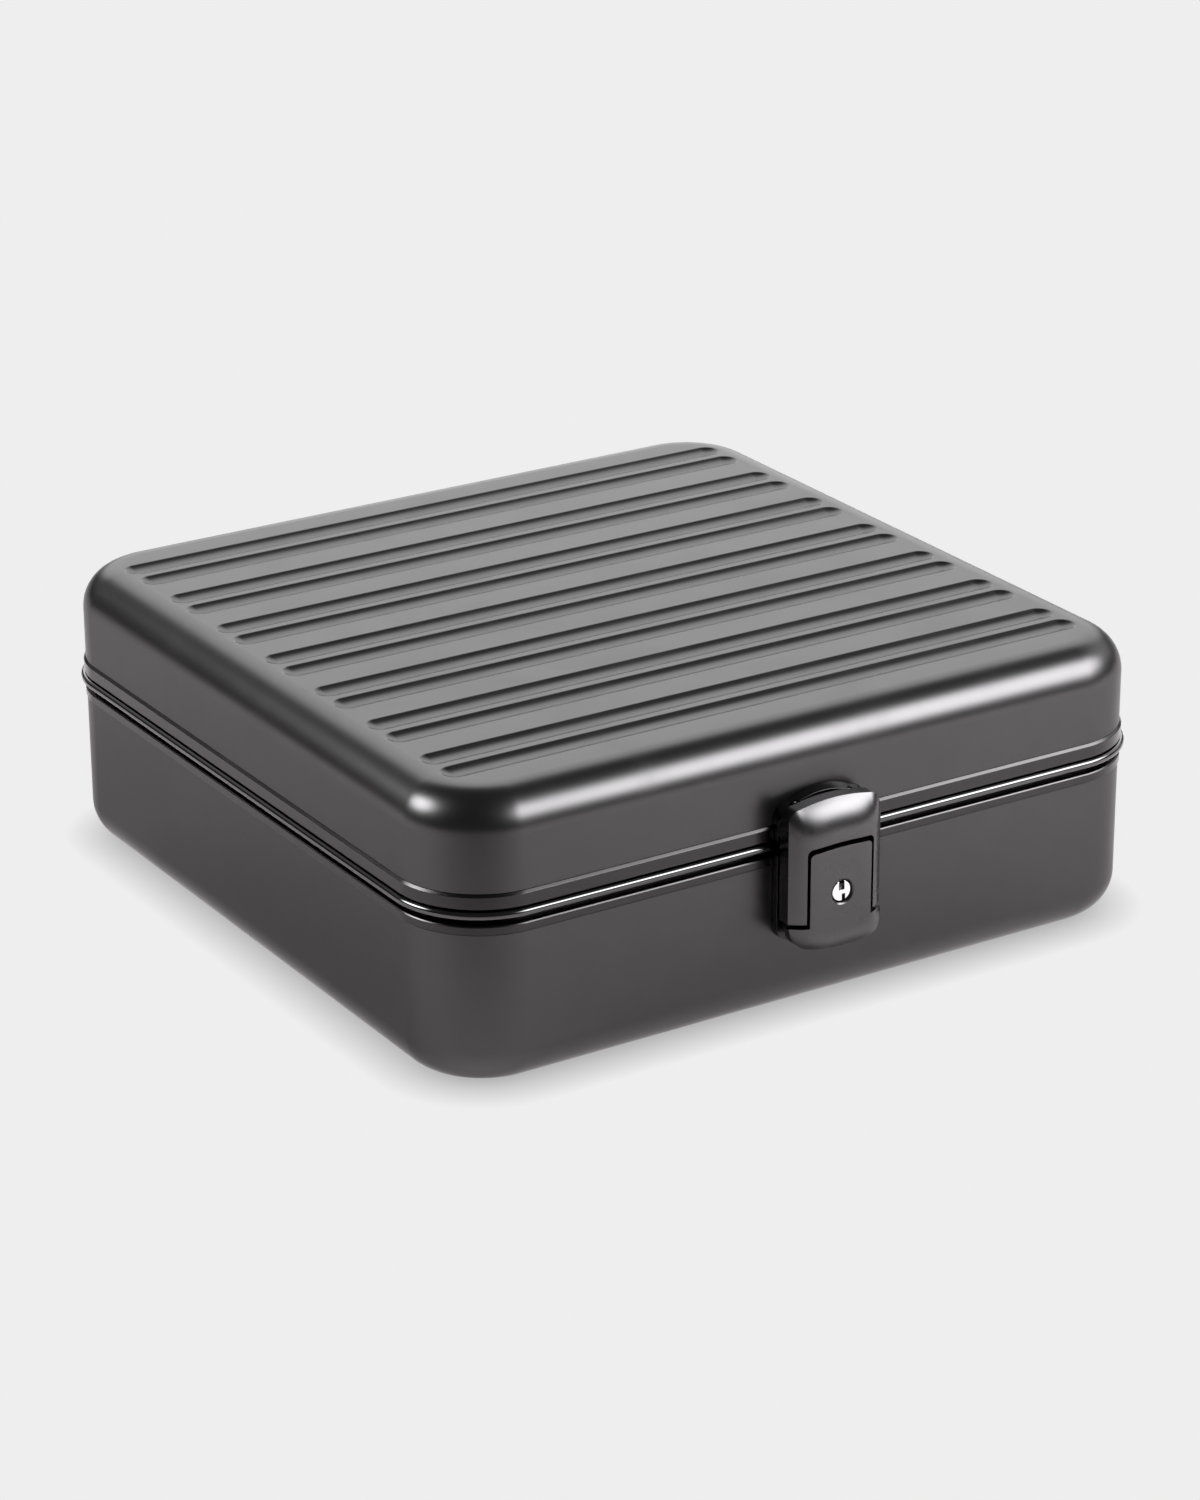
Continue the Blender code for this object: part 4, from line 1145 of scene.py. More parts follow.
@dataclass
class DrawLatch:
    """Draw latch: back plates, pull lever, hasp, pins and key lock."""

    half_width: float = 0.0178
    crown: float = 0.0142
    edge_drop: float = 0.0048
    crown_power: int = 4
    lever_top: float = 0.0608
    lever_arc: float = 0.0006
    lever_corner: float = 0.0016
    lever_half_width: float = 0.0116
    lever_wall: float = 0.0020
    lever_back: float = 0.0050
    lever_face_back: float = 0.0115
    foot_top: float = 0.0349
    foot_bottom: float = 0.0274
    foot_back: float = 0.0075
    foot_arc: float = 0.0009
    foot_corner: float = 0.0050
    hasp_top: float = 0.0758
    hasp_arc: float = 0.0014
    hasp_corner: float = 0.0042
    hasp_arm_end: float = 0.0365
    hasp_back: float = 0.0046
    hasp_lip: float = 0.0032
    hasp_lip_drop: float = 0.0028
    hasp_lip_height: float = 0.0019
    hasp_head: float = 0.0090
    hasp_roll: float = 0.0177
    roll_steps: int = 12
    window_half_width: float = 0.0126
    window_top: float = 0.0626
    window_corner: float = 0.0022
    barrel: float = 0.045
    round_edge: float = 0.0011
    foot_flare: float = 0.0170
    foot_turn: float = 19.0
    flare_steps: int = 8
    fine_edge: float = 0.0004
    front_depth: float = 0.0055
    face_depth: float = 0.0114
    pocket_half_width: float = 0.0134
    pocket_top: float = 0.0660
    pocket_front: float = 0.0113
    pivot_proud: float = 0.0070
    lever_pivot_z: float = 0.0572
    hasp_pivot_z: float = 0.0500
    pin_radius: float = 0.0010
    pin_hole: float = 0.00135
    lever_pin_half: float = 0.0111
    stub_start: float = 0.0090
    stub_end: float = 0.0158
    hasp_bore: float = 0.0162
    plate_half_width: float = 0.0171
    plate_face: float = 0.0028
    plate_corner: float = 0.0050
    plate_low: float = 0.0262
    plate_high: float = 0.0574
    plate_arc: float = 0.0014
    plate_rivet_x: float = 0.0060
    plate_rivet_z: Point = (0.0370, 0.0490)
    ear: float = 0.0024
    ear_angles: Point = (-50, 130)
    ear_steps: int = 14
    ear_inner: float = 0.0070
    ear_outer: float = 0.0088
    ear_root: float = 0.0025
    ear_low: float = 0.0534
    ear_high: float = 0.0562
    ear_bore: float = 0.0110
    keeper_low: float = 0.0622
    keeper_high: float = 0.0774
    keeper_arc: float = 0.0030
    keeper_draft: float = 0.0015
    keeper_slot_half: float = 0.0068
    keeper_slot_floor: float = 0.0015
    keeper_slot_z: Point = (0.0702, 0.0724)
    keeper_rivet_x: float = 0.0100
    keeper_rivet_z: float = 0.0720
    keeper_rivet_head: float = 0.0005
    keeper_sink: float = 0.0012
    keeper_sink_radius: float = 0.0025
    margin: float = 0.002
    station_steps: int = 9

    def sag(self, x: float, drop: float, half_width: float, corner: float) -> float:
        """How far an outline has left its crown at x: a shallow arc, then a round corner.

        Args:
            x: Distance from the latch's middle.
            drop: Fall of the shallow arc up to the corner.
            half_width: Half width of the piece.
            corner: Radius of its corner.

        Returns:
            The distance.
        """
        start = half_width - corner
        radius = (start ** 2 + drop ** 2) / (2 * drop)
        flat = min(abs(x), start)
        past = max(abs(x) - start, 0)
        shallow = radius - math.sqrt(radius ** 2 - flat ** 2)
        return shallow + corner - math.sqrt(max(corner ** 2 - past ** 2, 0))

    def stations(self, half_width: float, corner: float) -> list[float]:
        """X stations across a latch piece, close together in its round corners.

        Args:
            half_width: Half width of the piece.
            corner: Radius of its corners.

        Returns:
            The stations from left to right.
        """
        start = half_width - corner
        steps = range(self.station_steps + 1)
        right = [start * step / len(steps) for step in steps]
        right += [start + corner * math.sin(math.pi / 2 * step / self.station_steps) for step in steps]
        return [-x for x in right[:0:-1]] + right

    def face(self, x: float) -> float:
        """How proud the crowned front is at x: flat in the middle, falling away at the sides."""
        return self.crown - self.edge_drop * (abs(x) / self.half_width) ** self.crown_power

    def loft(self, half_width: float, corner: float, section: Callable[[float], list[Point]]) -> Workpiece:
        """Skin sections of proud and height across the latch.

        Args:
            half_width: Half width of the piece.
            corner: Radius of its round corners.
            section: Gives the section at an X station.

        Returns:
            The workpiece.
        """
        work = Workpiece()
        loops = [
            work.section(CASE.front(x, proud, z) for proud, z in section(x))
            for x in self.stations(half_width, corner)
        ]
        work.skin(loops)
        return work

    def stamp(self, outline: Sequence[Point]) -> Workpiece:
        """A cutter through the whole latch.

        Args:
            outline: X and height of its corners.

        Returns:
            The cutter.
        """
        work = Workpiece()
        depths = (0, self.crown + self.margin)
        work.skin([work.section(CASE.front(x, proud, z) for x, z in outline) for proud in depths])
        return work

    def arch(self, top: float, half_width: float, corner: float) -> list[Point]:
        """An arched head with round corners.

        Args:
            top: Height of its crown.
            half_width: Half its width.
            corner: Radius of its corners.

        Returns:
            X and height of its points, from left to right.
        """
        across = self.stations(half_width, corner)
        return [(x, top - self.sag(x, self.lever_arc, half_width, corner)) for x in across]

    def waist(self, work: Workpiece) -> None:
        """Draw a blank's sides in towards its ends, so that they bulge a little.

        Args:
            work: The blank.
        """
        middle = (self.hasp_top + self.foot_bottom) / 2
        for vert in work.bm.verts:
            share = (vert.co.z - middle) / (self.hasp_top - middle)
            vert.co.x *= 1 - self.barrel * share ** 2

    def in_front(self, place: Vector) -> bool:
        """Whether a place is on the latch's visible side."""
        return -place.y - CASE.half_depth > self.front_depth

    def near_face(self, place: Vector) -> bool:
        """Whether a place is close to the latch's front face."""
        return -place.y - CASE.half_depth > self.face_depth

    def bore(self, z: float, reach: float) -> Workpiece:
        """A drill along X for a pivot pin."""
        profile = [(0, -reach), (self.pin_hole, -reach), (self.pin_hole, reach), (0, reach)]
        return Workpiece().turned(profile, CASE.front(0, self.pivot_proud, z), Vector((1, 0, 0)))

    def lever_section(self, x: float) -> list[Point]:
        """Section of the lever's blank: its foot is flared out a little and stepped at the back.

        Args:
            x: The station.

        Returns:
            Proud and height of its corners.
        """
        low = self.foot_bottom + self.sag(x, self.foot_arc, self.half_width, self.foot_corner)
        front = self.face(x)
        top = self.lever_top + self.margin / 2
        center = (front + self.foot_flare, low + self.foot_flare * math.sin(math.radians(self.foot_turn)))
        flare = arc(center, self.foot_flare, 180 + self.foot_turn, 180, self.flare_steps)
        step = self.foot_top + CASE.gap
        return [
            (self.foot_back, low), *flare, (front, top), (self.lever_back, top),
            (self.lever_back, step), (self.foot_back, step),
        ]

    def build_lever(self, lock: "KeyLock") -> None:
        """Lever with a wide foot to pull on and a hollow upright.

        Args:
            lock: The lock that sits in it.
        """
        work = self.loft(self.half_width, self.foot_corner, self.lever_section)
        self.waist(work)
        far = self.half_width + self.margin
        above = self.lever_top + self.margin
        half = self.lever_half_width
        head = self.arch(self.lever_top, half, self.lever_corner)
        foot = self.foot_top
        around = [
            (-far, foot), (-half, foot), *head, (half, foot), (far, foot), (far, above), (-far, above),
        ]
        work.join(self.stamp(around), Join.CUT)
        inner = half - self.lever_wall
        hollow = front_block((-inner, 0, foot + self.lever_wall), (inner, self.lever_face_back, above))
        work.join(hollow, Join.CUT).join(lock.seat(self), Join.CUT)
        for z in (self.lever_pivot_z, self.hasp_pivot_z):
            work.join(self.bore(z, far), Join.CUT)
        work.soften(self.fine_edge, 3, where=self.near_face)
        install(work, "pull_lever", Finishes.LATCH, Body.LEVER, ["latch_lever"])

    def hasp_section(self, x: float) -> list[Point]:
        """Section of the hasp's blank: flat front, rolled head and a lip towards the lid.

        Args:
            x: The station.

        Returns:
            Proud and height of its corners.
        """
        front = self.face(x)
        top = self.hasp_top - self.sag(x, self.hasp_arc, self.half_width, self.hasp_corner)
        turn = math.acos(1 - (front - self.hasp_head) / self.hasp_roll)
        lip_top = top - self.hasp_lip_drop
        lip_low = lip_top - self.hasp_lip_height
        reach = self.hasp_back - self.hasp_lip
        center = (front - self.hasp_roll, top - self.hasp_roll * math.sin(turn))
        roll = arc(center, self.hasp_roll, 0, math.degrees(turn), self.roll_steps)
        return [
            (self.hasp_back, self.hasp_arm_end), (front, self.hasp_arm_end), *roll,
            (self.hasp_back, top), (self.hasp_back, lip_top + reach), (self.hasp_lip, lip_top),
            (self.hasp_lip, lip_low), (self.hasp_back, lip_low - reach),
        ]

    def build_hasp(self) -> None:
        """Hasp shaped like an upturned U."""
        work = self.loft(self.half_width, self.hasp_corner, self.hasp_section)
        self.waist(work.soften(self.round_edge, 5, where=self.in_front))
        half = self.window_half_width
        low = self.hasp_arm_end - self.margin
        head = self.arch(self.window_top, half, self.window_corner)
        work.join(self.stamp([(-half, low), *head, (half, low)]), Join.CUT)
        pocket = self.pocket_half_width
        low = self.window_top - self.lever_wall
        work.join(front_block((-pocket, 0, low), (pocket, self.pocket_front, self.pocket_top)), Join.CUT)
        work.join(self.bore(self.hasp_pivot_z, self.hasp_bore), Join.CUT)
        work.soften(self.fine_edge, 3, where=self.near_face)
        install(work, "hasp", Finishes.LATCH, Body.HASP, ["latch_hasp"])

    def plate_section(self, x: float) -> list[Point]:
        """Section of the base's back plate, relieved where it passes the rim.

        Args:
            x: The station.

        Returns:
            Proud and height of its corners.
        """
        low = self.plate_low + self.sag(x, self.plate_arc, self.plate_half_width, self.plate_corner)
        return [
            (CASE.gap, low), (self.plate_face, low), (self.plate_face, self.plate_high),
            (CASE.flange_clear, self.plate_high), (CASE.flange_clear, CASE.base_mouth),
            (CASE.gap, CASE.base_mouth),
        ]

    def keeper_section(self, x: float) -> list[Point]:
        """Section of the lid's keeper plate, with a sloping head.

        Args:
            x: The station.

        Returns:
            Proud and height of its corners.
        """
        top = self.keeper_high - self.sag(x, self.keeper_arc, self.plate_half_width, self.plate_corner)
        face = self.plate_face
        return [
            (CASE.band_clear, self.keeper_low), (face, self.keeper_low), (face, top - self.keeper_draft),
            (CASE.gap, top), (CASE.gap, CASE.lid_mouth), (CASE.band_clear, CASE.lid_mouth),
        ]

    def build_backplate(self) -> None:
        """Back plate with pivot ears on the base, and its rivets."""
        plate = self.loft(self.plate_half_width, self.plate_corner, self.plate_section)
        plate.soften(self.fine_edge)
        pivot = (self.pivot_proud, self.lever_pivot_z)
        outline = arc(pivot, self.ear, *self.ear_angles, self.ear_steps)
        outline += [(self.ear_root, self.ear_high), (self.ear_root, self.ear_low)]
        for ends in ((self.ear_inner, self.ear_outer), (-self.ear_outer, -self.ear_inner)):
            ear = Workpiece()
            ear.skin([ear.section(CASE.front(x, proud, z) for proud, z in outline) for x in ends])
            plate.join(ear, Join.WELD)
        plate.join(self.bore(self.lever_pivot_z, self.ear_bore), Join.CUT)
        finish = Finishes.LATCH_BACK
        install(plate, "latch_backplate", finish, Body.BASE, ["latch_plate"])
        places = [(x, z) for z in self.plate_rivet_z for x in (-self.plate_rivet_x, self.plate_rivet_x)]
        Rivets().build("latch_plate_rivet", places, CASE.front, self.plate_face, Body.BASE, finish)

    def build_keeper(self) -> None:
        """Keeper on the lid, and its sunk rivets."""
        keeper = self.loft(self.plate_half_width, self.plate_corner, self.keeper_section)
        keeper.soften(self.fine_edge)
        half = self.keeper_slot_half
        low, high = self.keeper_slot_z
        slot = front_block((-half, self.keeper_slot_floor, low), (half, self.crown, high))
        keeper.join(slot, Join.CUT)
        sink = self.plate_face - self.keeper_sink
        radius = self.keeper_sink_radius
        profile = [(0, sink), (radius, sink), (radius, self.crown), (0, self.crown)]
        places = [(x, self.keeper_rivet_z) for x in (-self.keeper_rivet_x, self.keeper_rivet_x)]
        for x, z in places:
            hole = Workpiece().turned(profile, CASE.front(x, 0, z), Vector((0, -1, 0)))
            keeper.join(hole, Join.CUT)
        finish = Finishes.LATCH_BACK
        install(keeper, "keeper", finish, Body.LID, ["keeper_plate"])
        rivets = Rivets(head_height=self.keeper_rivet_head)
        rivets.build("keeper_rivet", places, CASE.front, sink - CASE.gap / 2, Body.LID, finish)

    def build_pins(self) -> None:
        """Pin the lever turns on, and the stub pins the hasp turns on."""
        axis = Vector((1, 0, 0))
        radius = self.pin_radius
        half = self.lever_pin_half
        place = CASE.front(0, self.pivot_proud, self.lever_pivot_z)
        pin("lever_pin", "lever_pivot_pin", place, axis, radius, -half, half, Body.BASE)
        place = CASE.front(0, self.pivot_proud, self.hasp_pivot_z)
        for side, way in (("right", axis), ("left", -axis)):
            ends = (self.stub_start, self.stub_end)
            pin(f"hasp_pin_{side}", f"hasp_pivot_pin_{side}", place, way, radius, *ends, Body.LEVER)

    def build(self) -> None:
        """Build every piece of the latch."""
        lock = KeyLock()
        self.build_backplate()
        self.build_keeper()
        self.build_lever(lock)
        self.build_hasp()
        self.build_pins()
        lock.build()


@dataclass
class KeyLock:
    """Key lock in the lever: bezel, turning plug and cam."""

    z: float = 0.0455
    hole: float = 0.00395
    chamfer: float = 0.0005
    bezel_outer: float = 0.00365
    bezel_inner: float = 0.00275
    bezel_face: float = 0.0126
    bezel_back: float = 0.0112
    flange_radius: float = 0.0035
    flange_back: float = 0.0129
    plug_radius: float = 0.00245
    plug_face: float = 0.0136
    plug_back: float = 0.0066
    tail_radius: float = 0.0012
    tail_end: float = 0.0042
    keyway_floor: float = 0.0112
    keyway_past: float = 0.001
    core_face: float = 0.0127
    core_clear: float = 0.0001
    core_inset: float = 0.0004
    collar_edge: float = 0.0002
    rim_edge: float = 0.0003
    under_edge: float = 0.0001
    keyway_edge: float = 0.00012
    steps: int = 40
    notches: Sequence[tuple[float, float, float, float]] = (
        (-0.0011, 0.0011, 0.0003, 0.0040), (0.0001, 0.0014, -0.0040, -0.0011),
    )

    def spun(self, profile: Sequence[Point]) -> Workpiece:
        """A piece turned about the lock's axis."""
        return Workpiece().turned(profile, CASE.front(0, 0, self.z), Vector((0, -1, 0)), self.steps)

    def seat(self, latch: DrawLatch) -> Workpiece:
        """The cutter for the lock's chamfered hole.

        Args:
            latch: The latch whose lever gets the hole.

        Returns:
            The cutter.
        """
        out = latch.crown + latch.margin
        flare = latch.crown - self.chamfer
        mouth = self.hole + self.chamfer + latch.margin
        return self.spun([(0, 0), (self.hole, 0), (self.hole, flare), (mouth, out), (0, out)])

    def notch(self, sides: Point, heights: Point, depths: Point) -> Workpiece:
        """A block in the keyway, from its sides, its heights above the axis and its depths."""
        corners = [(x, proud, self.z + rise) for x, proud, rise in zip(sides, depths, heights)]
        return front_block(*corners)

    def build(self) -> None:
        """Build the bezel, the plug and the wafers in its keyway, black as painted shade in the slot, and
        dress the cam.
        """
        corners = [
            (self.bezel_outer, self.bezel_back, self.collar_edge),
            (self.bezel_outer, self.bezel_face, self.rim_edge),
            (self.bezel_inner, self.bezel_face, self.collar_edge),
            (self.bezel_inner, self.bezel_back, self.collar_edge),
        ]
        outline = eased(corners, 4)
        bezel = self.spun([*outline, outline[0]])
        install(bezel, "lock_collar", Finishes.LATCH_BACK, Body.LEVER, ["lock_bezel"])

        corners = [
            (0, self.plug_face, 0), (self.flange_radius, self.plug_face, self.rim_edge),
            (self.flange_radius, self.flange_back, self.under_edge),
            (self.plug_radius, self.flange_back, 0), (self.plug_radius, self.plug_back, 0),
            (self.tail_radius, self.plug_back, 0), (self.tail_radius, self.tail_end, 0),
            (0, self.tail_end, 0),
        ]
        plug = self.spun(eased(corners, 4, closed=False))
        for left, right, low, high in self.notches:
            depths = (self.keyway_floor, self.plug_face + self.keyway_past)
            plug.join(self.notch((left, right), (low, high), depths), Join.CUT)
        plug.soften(self.keyway_edge, 2, 50)
        install(plug, "keyed_plug", Finishes.CHROME, Body.PLUG, ["lock_plug"])
        # Wafers in the keyway, finished black as painted shade in the slot's depth.
        clear = self.core_clear
        inside = self.plug_radius - self.core_inset
        for name, (left, right, low, high) in zip(("keyway_core", "ward_core"), self.notches):
            heights = (max(low + clear, -inside), min(high - clear, inside))
            depths = (self.keyway_floor + clear, self.core_face)
            core = self.notch((left + clear, right - clear), heights, depths)
            install(core, name, Finishes.LATCH_BACK, Body.PLUG)
        dress_node("lock_cam", Finishes.STEEL)


def dress_node(node: str, finish: Finish) -> None:
    """Give a CAD node that stays in view its finish.

    Args:
        node: Name of the node.
        finish: Its surface.
    """
    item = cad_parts[node]
    item.data.materials.clear()
    item.data.materials.append(finish.material())
    LOG.info("dressed %s", node)


@dataclass
class Hinges:
    """Two butt hinges on the back wall."""

    offset: float = 0.075
    proud: float = 0.0046
    z: float = 0.0618
    half_width: float = 0.020
    barrel: float = 0.0026
    knuckle_half: float = 0.0065
    knuckle_gap: float = 0.0002
    bore: float = 0.00145
    pin_radius: float = 0.0011
    pin_head: float = 0.0019
    pin_half_length: float = 0.0203
    head_length: float = 0.0010
    foot: float = 0.0355
    head: float = 0.0835
    base_face: float = 0.0019
    lid_face: float = 0.0023
    base_crank: float = 0.0560
    lid_crank: float = 0.0667
    elbow: Point = (0.0025, 0.0589)
    shoulder: float = 0.0566
    flank: float = 0.0022
    web: float = 0.0016
    notch_low: float = 0.0575
    notch_high: float = 0.0668
    rivet_offset: float = 0.013
    base_rivet_z: float = 0.0420
    lid_rivet_z: float = 0.0775
    past: float = 0.002
    edge: float = 0.0002
    pin_edge: float = 0.0004
    barrel_steps: int = 32
    pin_steps: int = 28

    def barrel_piece(self, start: float, end: float, radius: float) -> Workpiece:
        """A cylinder on the hinge's axis.

        Args:
            start: X of its left end.
            end: X of its right end.
            radius: Radius of the cylinder.

        Returns:
            The workpiece.
        """
        profile = [(0, start), (radius, start), (radius, end), (0, end)]
        origin = CASE.back(0, self.proud, self.z)
        return Workpiece().turned(profile, origin, Vector((1, 0, 0)), self.barrel_steps)

    def leaf(self, outline: Sequence[Point], left: float, right: float) -> Workpiece:
        """Extrude a leaf along X.

        Args:
            outline: Proud and height of its corners.
            left: Where it starts.
            right: Where it ends.

        Returns:
            The leaf.
        """
        work = Workpiece()
        work.skin([work.section(CASE.back(x, proud, z) for proud, z in outline) for x in (left, right)])
        return work

    def notch(self, left: float, right: float, low: float, high: float) -> Workpiece:
        """A cut where the other leaf's barrel turns."""
        far = CASE.half_depth + self.proud + 2 * self.barrel
        return Workpiece().block((left, CASE.half_depth, low), (right, far, high))

    def base_outline(self) -> list[Point]:
        """Base leaf: flat on the wall, cranked out past the bead to the barrel."""
        return [
            (CASE.gap, self.foot), (self.base_face, self.foot), (self.base_face, self.base_crank),
            (self.proud, self.z - self.flank), (self.proud - self.barrel / 2, self.z - self.web),
            self.elbow, (CASE.flange_clear, self.shoulder), (CASE.flange_clear, CASE.base_mouth),
            (CASE.gap, CASE.base_mouth),
        ]

    def lid_outline(self) -> list[Point]:
        """Lid leaf: flat on the wall, stepped over the lid's band to the barrel."""
        return [
            (CASE.gap, self.head), (CASE.gap, CASE.lid_mouth), (CASE.band_clear, CASE.lid_mouth),
            (CASE.band_clear, self.z + self.barrel),
            (self.proud - self.web, self.z + self.barrel / 2), (self.proud, self.z + self.flank),
            (self.lid_face, self.lid_crank), (self.lid_face, self.head),
        ]

    def build_one(self, side: str, x: float) -> None:
        """Build one hinge.

        Args:
            side: Which hinge it is.
            x: Its middle along X.
        """
        left = x - self.half_width
        right = x + self.half_width
        inner = self.knuckle_half + self.knuckle_gap
        outer = self.knuckle_half - self.knuckle_gap
        drill = (left - self.past, right + self.past, self.bore)

        work = self.leaf(self.base_outline(), left, right)
        work.join(self.notch(x - inner, x + inner, self.notch_low, self.notch_high), Join.CUT)
        work.join(self.barrel_piece(left, x - inner, self.barrel), Join.WELD)
        work.join(self.barrel_piece(x + inner, right, self.barrel), Join.WELD)
        work.join(self.barrel_piece(*drill), Join.CUT).soften(self.edge, 2, 50)
        node = f"hinge_{side}_base_leaf"
        install(work, f"hinge_{side}_lower_leaf", Finishes.HINGE, Body.BASE, [node])

        work = self.leaf(self.lid_outline(), left, right)
        low = self.z - self.barrel - self.past
        work.join(self.notch(left - self.past, x - outer, low, self.notch_high), Join.CUT)
        work.join(self.notch(x + outer, right + self.past, low, self.notch_high), Join.CUT)
        work.join(self.barrel_piece(x - outer, x + outer, self.barrel), Join.WELD)
        work.join(self.barrel_piece(*drill), Join.CUT).soften(self.edge, 2, 50)
        node = f"hinge_{side}_lid_leaf"
        install(work, f"hinge_{side}_upper_leaf", Finishes.HINGE, Body.LID, [node])

        end = self.pin_half_length
        tip = end + self.head_length
        corners = [
            (0, -tip, 0), (self.pin_head, -tip, self.pin_edge), (self.pin_head, -end, 0),
            (self.pin_radius, -end, 0), (self.pin_radius, end, 0), (self.pin_head, end, 0),
            (self.pin_head, tip, self.pin_edge), (0, tip, 0),
        ]
        place = CASE.back(x, self.proud, self.z)
        profile = eased(corners, 4, closed=False)
        work = Workpiece().turned(profile, place, Vector((1, 0, 0)), self.pin_steps)
        node = f"hinge_{side}_pin"
        install(work, f"hinge_{side}_barrel_pin", Finishes.STEEL, Body.BASE, [node])

    def build(self) -> None:
        """Build both hinges and their rivets."""
        self.build_one("left", -self.offset)
        self.build_one("right", self.offset)
        across = [side * self.offset + way * self.rivet_offset for side in (-1, 1) for way in (-1, 1)]
        leaves = (
            ("base", self.base_rivet_z, self.base_face, Body.BASE),
            ("lid", self.lid_rivet_z, self.lid_face, Body.LID),
        )
        for name, z, face, body in leaves:
            places = [(x, z) for x in across]
            Rivets().build(f"hinge_{name}_rivet", places, CASE.back, face, body, Finishes.STEEL)


def direction(azimuth: float, elevation: float) -> Vector:
    """Way from the case towards a place in the studio.

    Args:
        azimuth: Its angle round the case from the front, in degrees.
        elevation: Its angle above the floor, in degrees.

    Returns:
        The unit vector.
    """
    turn = math.radians(azimuth)
    tilt = math.radians(elevation)
    return Vector((math.sin(turn) * math.cos(tilt), -math.cos(turn) * math.cos(tilt), math.sin(tilt)))


@dataclass(frozen=True)
class Softbox:
    """A square light aimed at the case."""

    name: str
    azimuth: float
    elevation: float
    distance: float
    width: float
    height: float
    radiance: float
    core: float = 0.35
    aim: Corner = (0.0, 0.0, 0.06)

    def build(self) -> None:
        """Hang the light, bright in its core and fading towards its edges."""
        lamp = bpy.data.lights.new(self.name, "AREA")
        lamp.shape = "RECTANGLE"
        lamp.size = self.width
        lamp.size_y = self.height
        lamp.energy = self.radiance * math.pi * self.width * self.height
        lamp.use_nodes = True
        sheet = NodeSheet(lamp.node_tree)
        place = sheet.add("ShaderNodeNewGeometry").outputs["Parametric"]
        away = sheet.add("ShaderNodeVectorMath", {0: place, 1: (0.5, 0.5, 0)}, operation="DISTANCE")
        values = {0: away.outputs["Value"], 1: self.core / 2, 2: 0.5, 3: 1.0, 4: 0.0}
        fade = sheet.add("ShaderNodeMapRange", values, interpolation_type="SMOOTHSTEP").outputs[0]
        lamp.node_tree.links.new(fade, lamp.node_tree.nodes["Emission"].inputs["Strength"])
        item = bpy.data.objects.new(self.name, lamp)
        bpy.context.scene.collection.objects.link(item)
        way = direction(self.azimuth, self.elevation)
        item.location = Vector(self.aim) + way * self.distance
        item.rotation_euler = way.to_track_quat("Z", "Y").to_euler()
        item.visible_camera = False


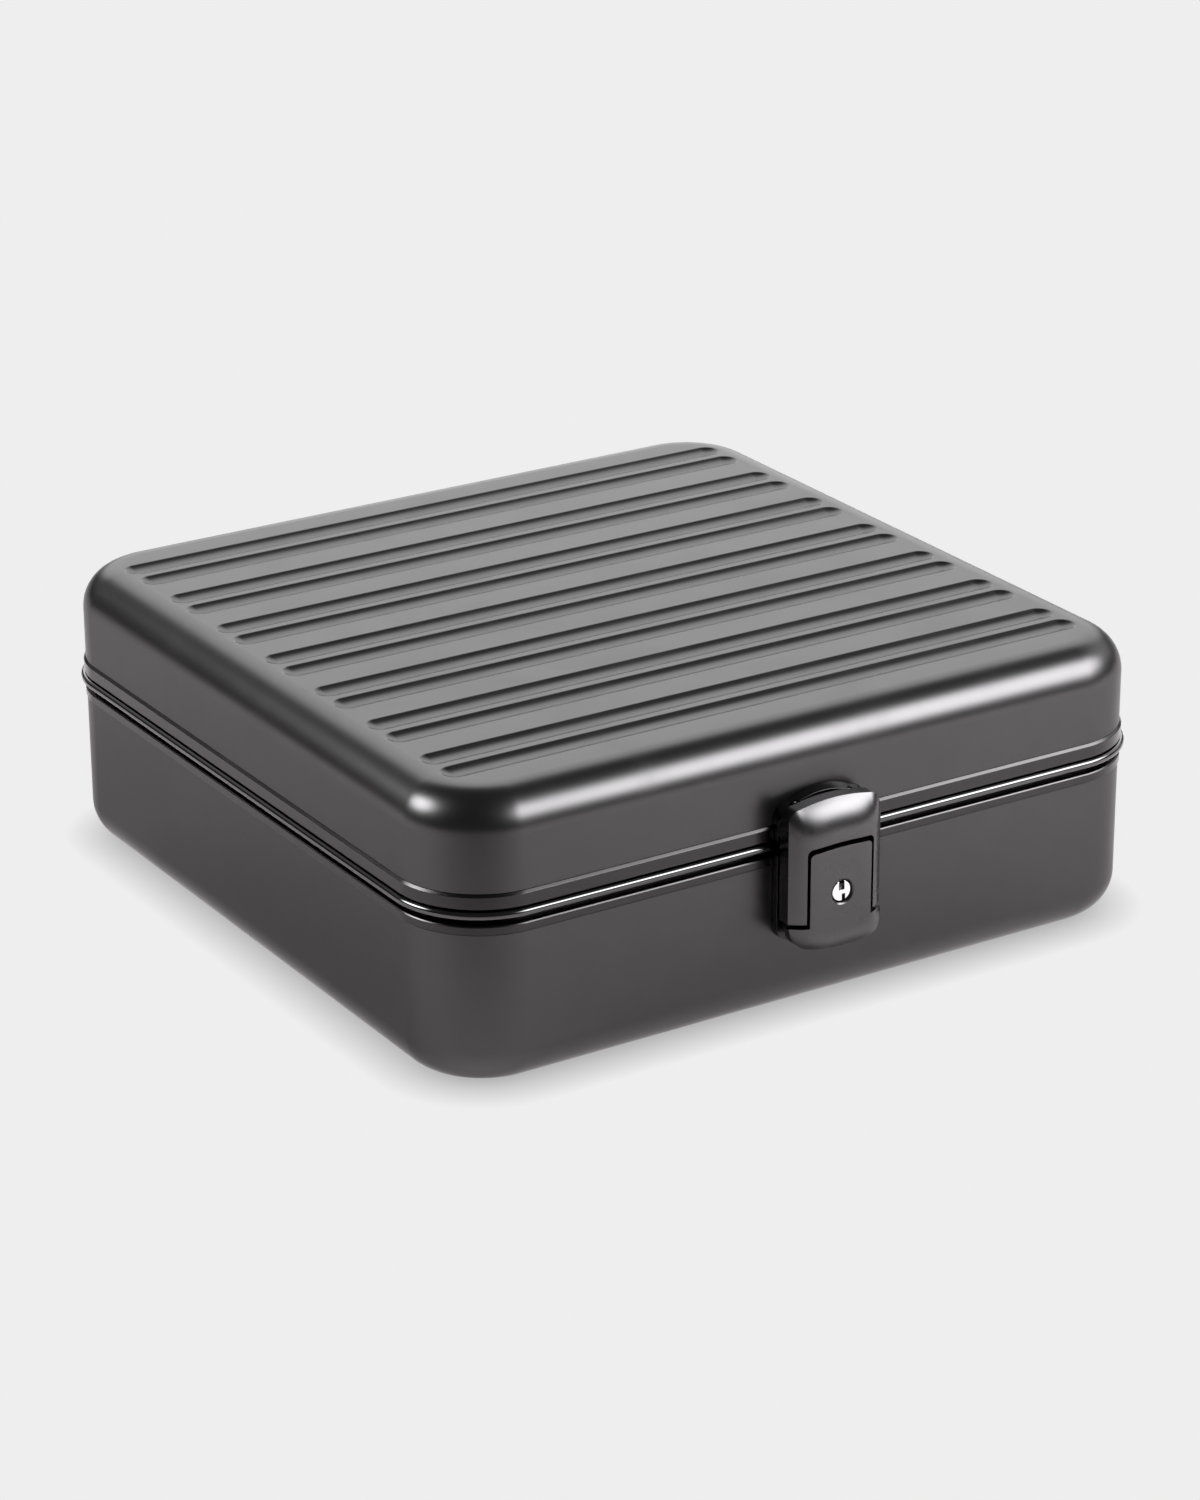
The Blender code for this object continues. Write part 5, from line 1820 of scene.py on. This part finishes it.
@dataclass
class Studio:
    """Pale floor, soft lights and the camera."""

    floor_radius: float = 6.0
    floor_steps: int = 96
    floor_drop: float = 0.0002
    pale: float = 0.855
    paper: float = 0.73
    # Painted contact shadow on the camera-seen floor: its depth, reach and samples.
    shade: float = 0.50
    shade_reach: float = 0.014
    shade_samples: int = 16
    room: float = 0.07
    # Painted glow of the floor in reflections, brighter close under the case.
    glow: float = 0.10
    spill: float = 0.9
    cast: Corner = (1.0, 0.945, 0.955)
    spill_reach: float = 0.018
    spill_samples: int = 4
    # A painted shadow patch that darkens the floor's colour and glow towards the front left.
    painted_shadow_center: Point = (-0.28, -0.37)
    painted_shadow_radius: float = 0.34
    painted_shadow_depth: float = 0.72
    lens: float = 107.37
    sensor: float = 36.0
    nearest: float = 0.01
    camera_place: Corner = (-0.74505, -1.18974, 0.62153)
    camera_azimuth: float = -32.156
    camera_elevation: float = 22.42
    camera_roll: float = -0.236
    softboxes: Sequence[Softbox] = field(default_factory=lambda: (
        Softbox("front_right_box", 43, 32.5, 1.25, 1.70, 0.96, 12.8),
        Softbox("left_box", -114, 34, 1.2, 0.84, 0.74, 17.0),
        Softbox("back_card", 148, 27, 1.6, 2.3, 1.95, 2.85, 0.70),
        Softbox("right_card", 95, 25, 1.3, 1.0, 1.0, 1.3),
        Softbox("back_left_card", -165, 25, 1.5, 1.2, 1.0, 0.4),
    ))

    def build_floor(self) -> None:
        """A pale floor with a painted contact shadow under the case and a painted glow in reflections."""
        work = Workpiece()
        place = Matrix.Translation((0, 0, -self.floor_drop))
        size = {"segments": self.floor_steps, "radius": self.floor_radius}
        bmesh.ops.create_circle(work.bm, cap_ends=True, matrix=place, **size)
        floor = work.rest_object("studio_floor")
        material = bpy.data.materials.new("pale_floor")
        material.use_nodes = True
        material.node_tree.nodes.clear()
        sheet = NodeSheet(material.node_tree)
        # The camera sees an even emission with a painted contact shadow, darker where ambient occlusion finds
        # the case.
        reach = {"Distance": self.shade_reach}
        hidden = sheet.add("ShaderNodeAmbientOcclusion", reach, samples=self.shade_samples)
        level = sheet.span(hidden.outputs["AO"], self.pale * (1 - self.shade), self.pale)
        seen = sheet.add("ShaderNodeEmission", {"Color": level})
        # Other rays see a lit floor plus a painted glow, brighter close under the case where ambient
        # occlusion finds it.
        reach = {"Distance": self.spill_reach}
        under = sheet.add("ShaderNodeAmbientOcclusion", reach, samples=self.spill_samples)
        spill = sheet.span(under.outputs["AO"], self.glow + self.spill, self.glow)
        # The painted shadow patch: the floor's colour and glow fall towards its middle.
        place = sheet.add("ShaderNodeTexCoord").outputs["Object"]
        away = sheet.add("ShaderNodeVectorMath", {0: place, 1: (*self.painted_shadow_center, 0)}, operation="DISTANCE")
        values = {0: away.outputs["Value"], 2: self.painted_shadow_radius, 3: 1 - self.painted_shadow_depth, 4: 1.0}
        clear = sheet.add("ShaderNodeMapRange", values, interpolation_type="SMOOTHSTEP").outputs[0]
        color = sheet.tint(clear, (0, 0, 0), tuple(self.paper * part for part in self.cast))
        lit = sheet.add("ShaderNodeBsdfDiffuse", {"Color": color})
        # The painted glow, dimmed inside the painted shadow patch.
        glow = sheet.add("ShaderNodeEmission", {"Strength": sheet.math("MULTIPLY", clear, spill)})
        glow.inputs["Color"].default_value = (*self.cast, 1)
        bright = sheet.add("ShaderNodeAddShader", {0: lit.outputs[0], 1: glow.outputs[0]})
        ray = sheet.add("ShaderNodeLightPath").outputs["Is Camera Ray"]
        mix = sheet.add("ShaderNodeMixShader", {0: ray, 1: bright.outputs[0], 2: seen.outputs[0]})
        sheet.add("ShaderNodeOutputMaterial", {"Surface": mix.outputs[0]})
        floor.data.materials.append(material)

    def build_room(self) -> None:
        """A dim room that looks as pale as the floor."""
        world = bpy.data.worlds.new("studio_room")
        world.use_nodes = True
        world.node_tree.nodes.clear()
        sheet = NodeSheet(world.node_tree)
        ray = sheet.add("ShaderNodeLightPath").outputs["Is Camera Ray"]
        level = sheet.span(ray, self.room, self.pale)
        backdrop = sheet.add("ShaderNodeBackground", {"Color": level})
        sheet.add("ShaderNodeOutputWorld", {"Surface": backdrop.outputs[0]})
        bpy.context.scene.world = world

    def build_camera(self) -> None:
        """The camera at the photograph's place and angle."""
        data = bpy.data.cameras.new("photo_camera")
        data.lens = self.lens
        data.sensor_width = self.sensor
        data.clip_start = self.nearest
        camera = bpy.data.objects.new("photo_camera", data)
        bpy.context.scene.collection.objects.link(camera)
        turn = math.radians(self.camera_azimuth)
        back = direction(self.camera_azimuth, self.camera_elevation)
        right = Vector((math.cos(turn), math.sin(turn), 0))
        up = back.cross(right)
        aim = Matrix((right, up, back)).transposed().to_4x4()
        roll = Matrix.Rotation(math.radians(self.camera_roll), 4, "Z")
        camera.matrix_world = Matrix.Translation(self.camera_place) @ aim @ roll
        bpy.context.scene.camera = camera

    def build(self) -> None:
        """Build the studio."""
        bpy.context.scene.view_settings.view_transform = "Standard"
        self.build_floor()
        self.build_room()
        self.build_camera()
        for box in self.softboxes:
            box.build()


def main() -> None:
    """Build the case and the studio in order."""
    logging.basicConfig(level=logging.INFO, format="%(name)s: %(message)s")
    Studio().build()
    for part in (Base(), Lid(), DrawLatch(), Hinges()):
        LOG.info("building %s", type(part).__name__)
        part.build()


if __name__ == "__main__":
    main()
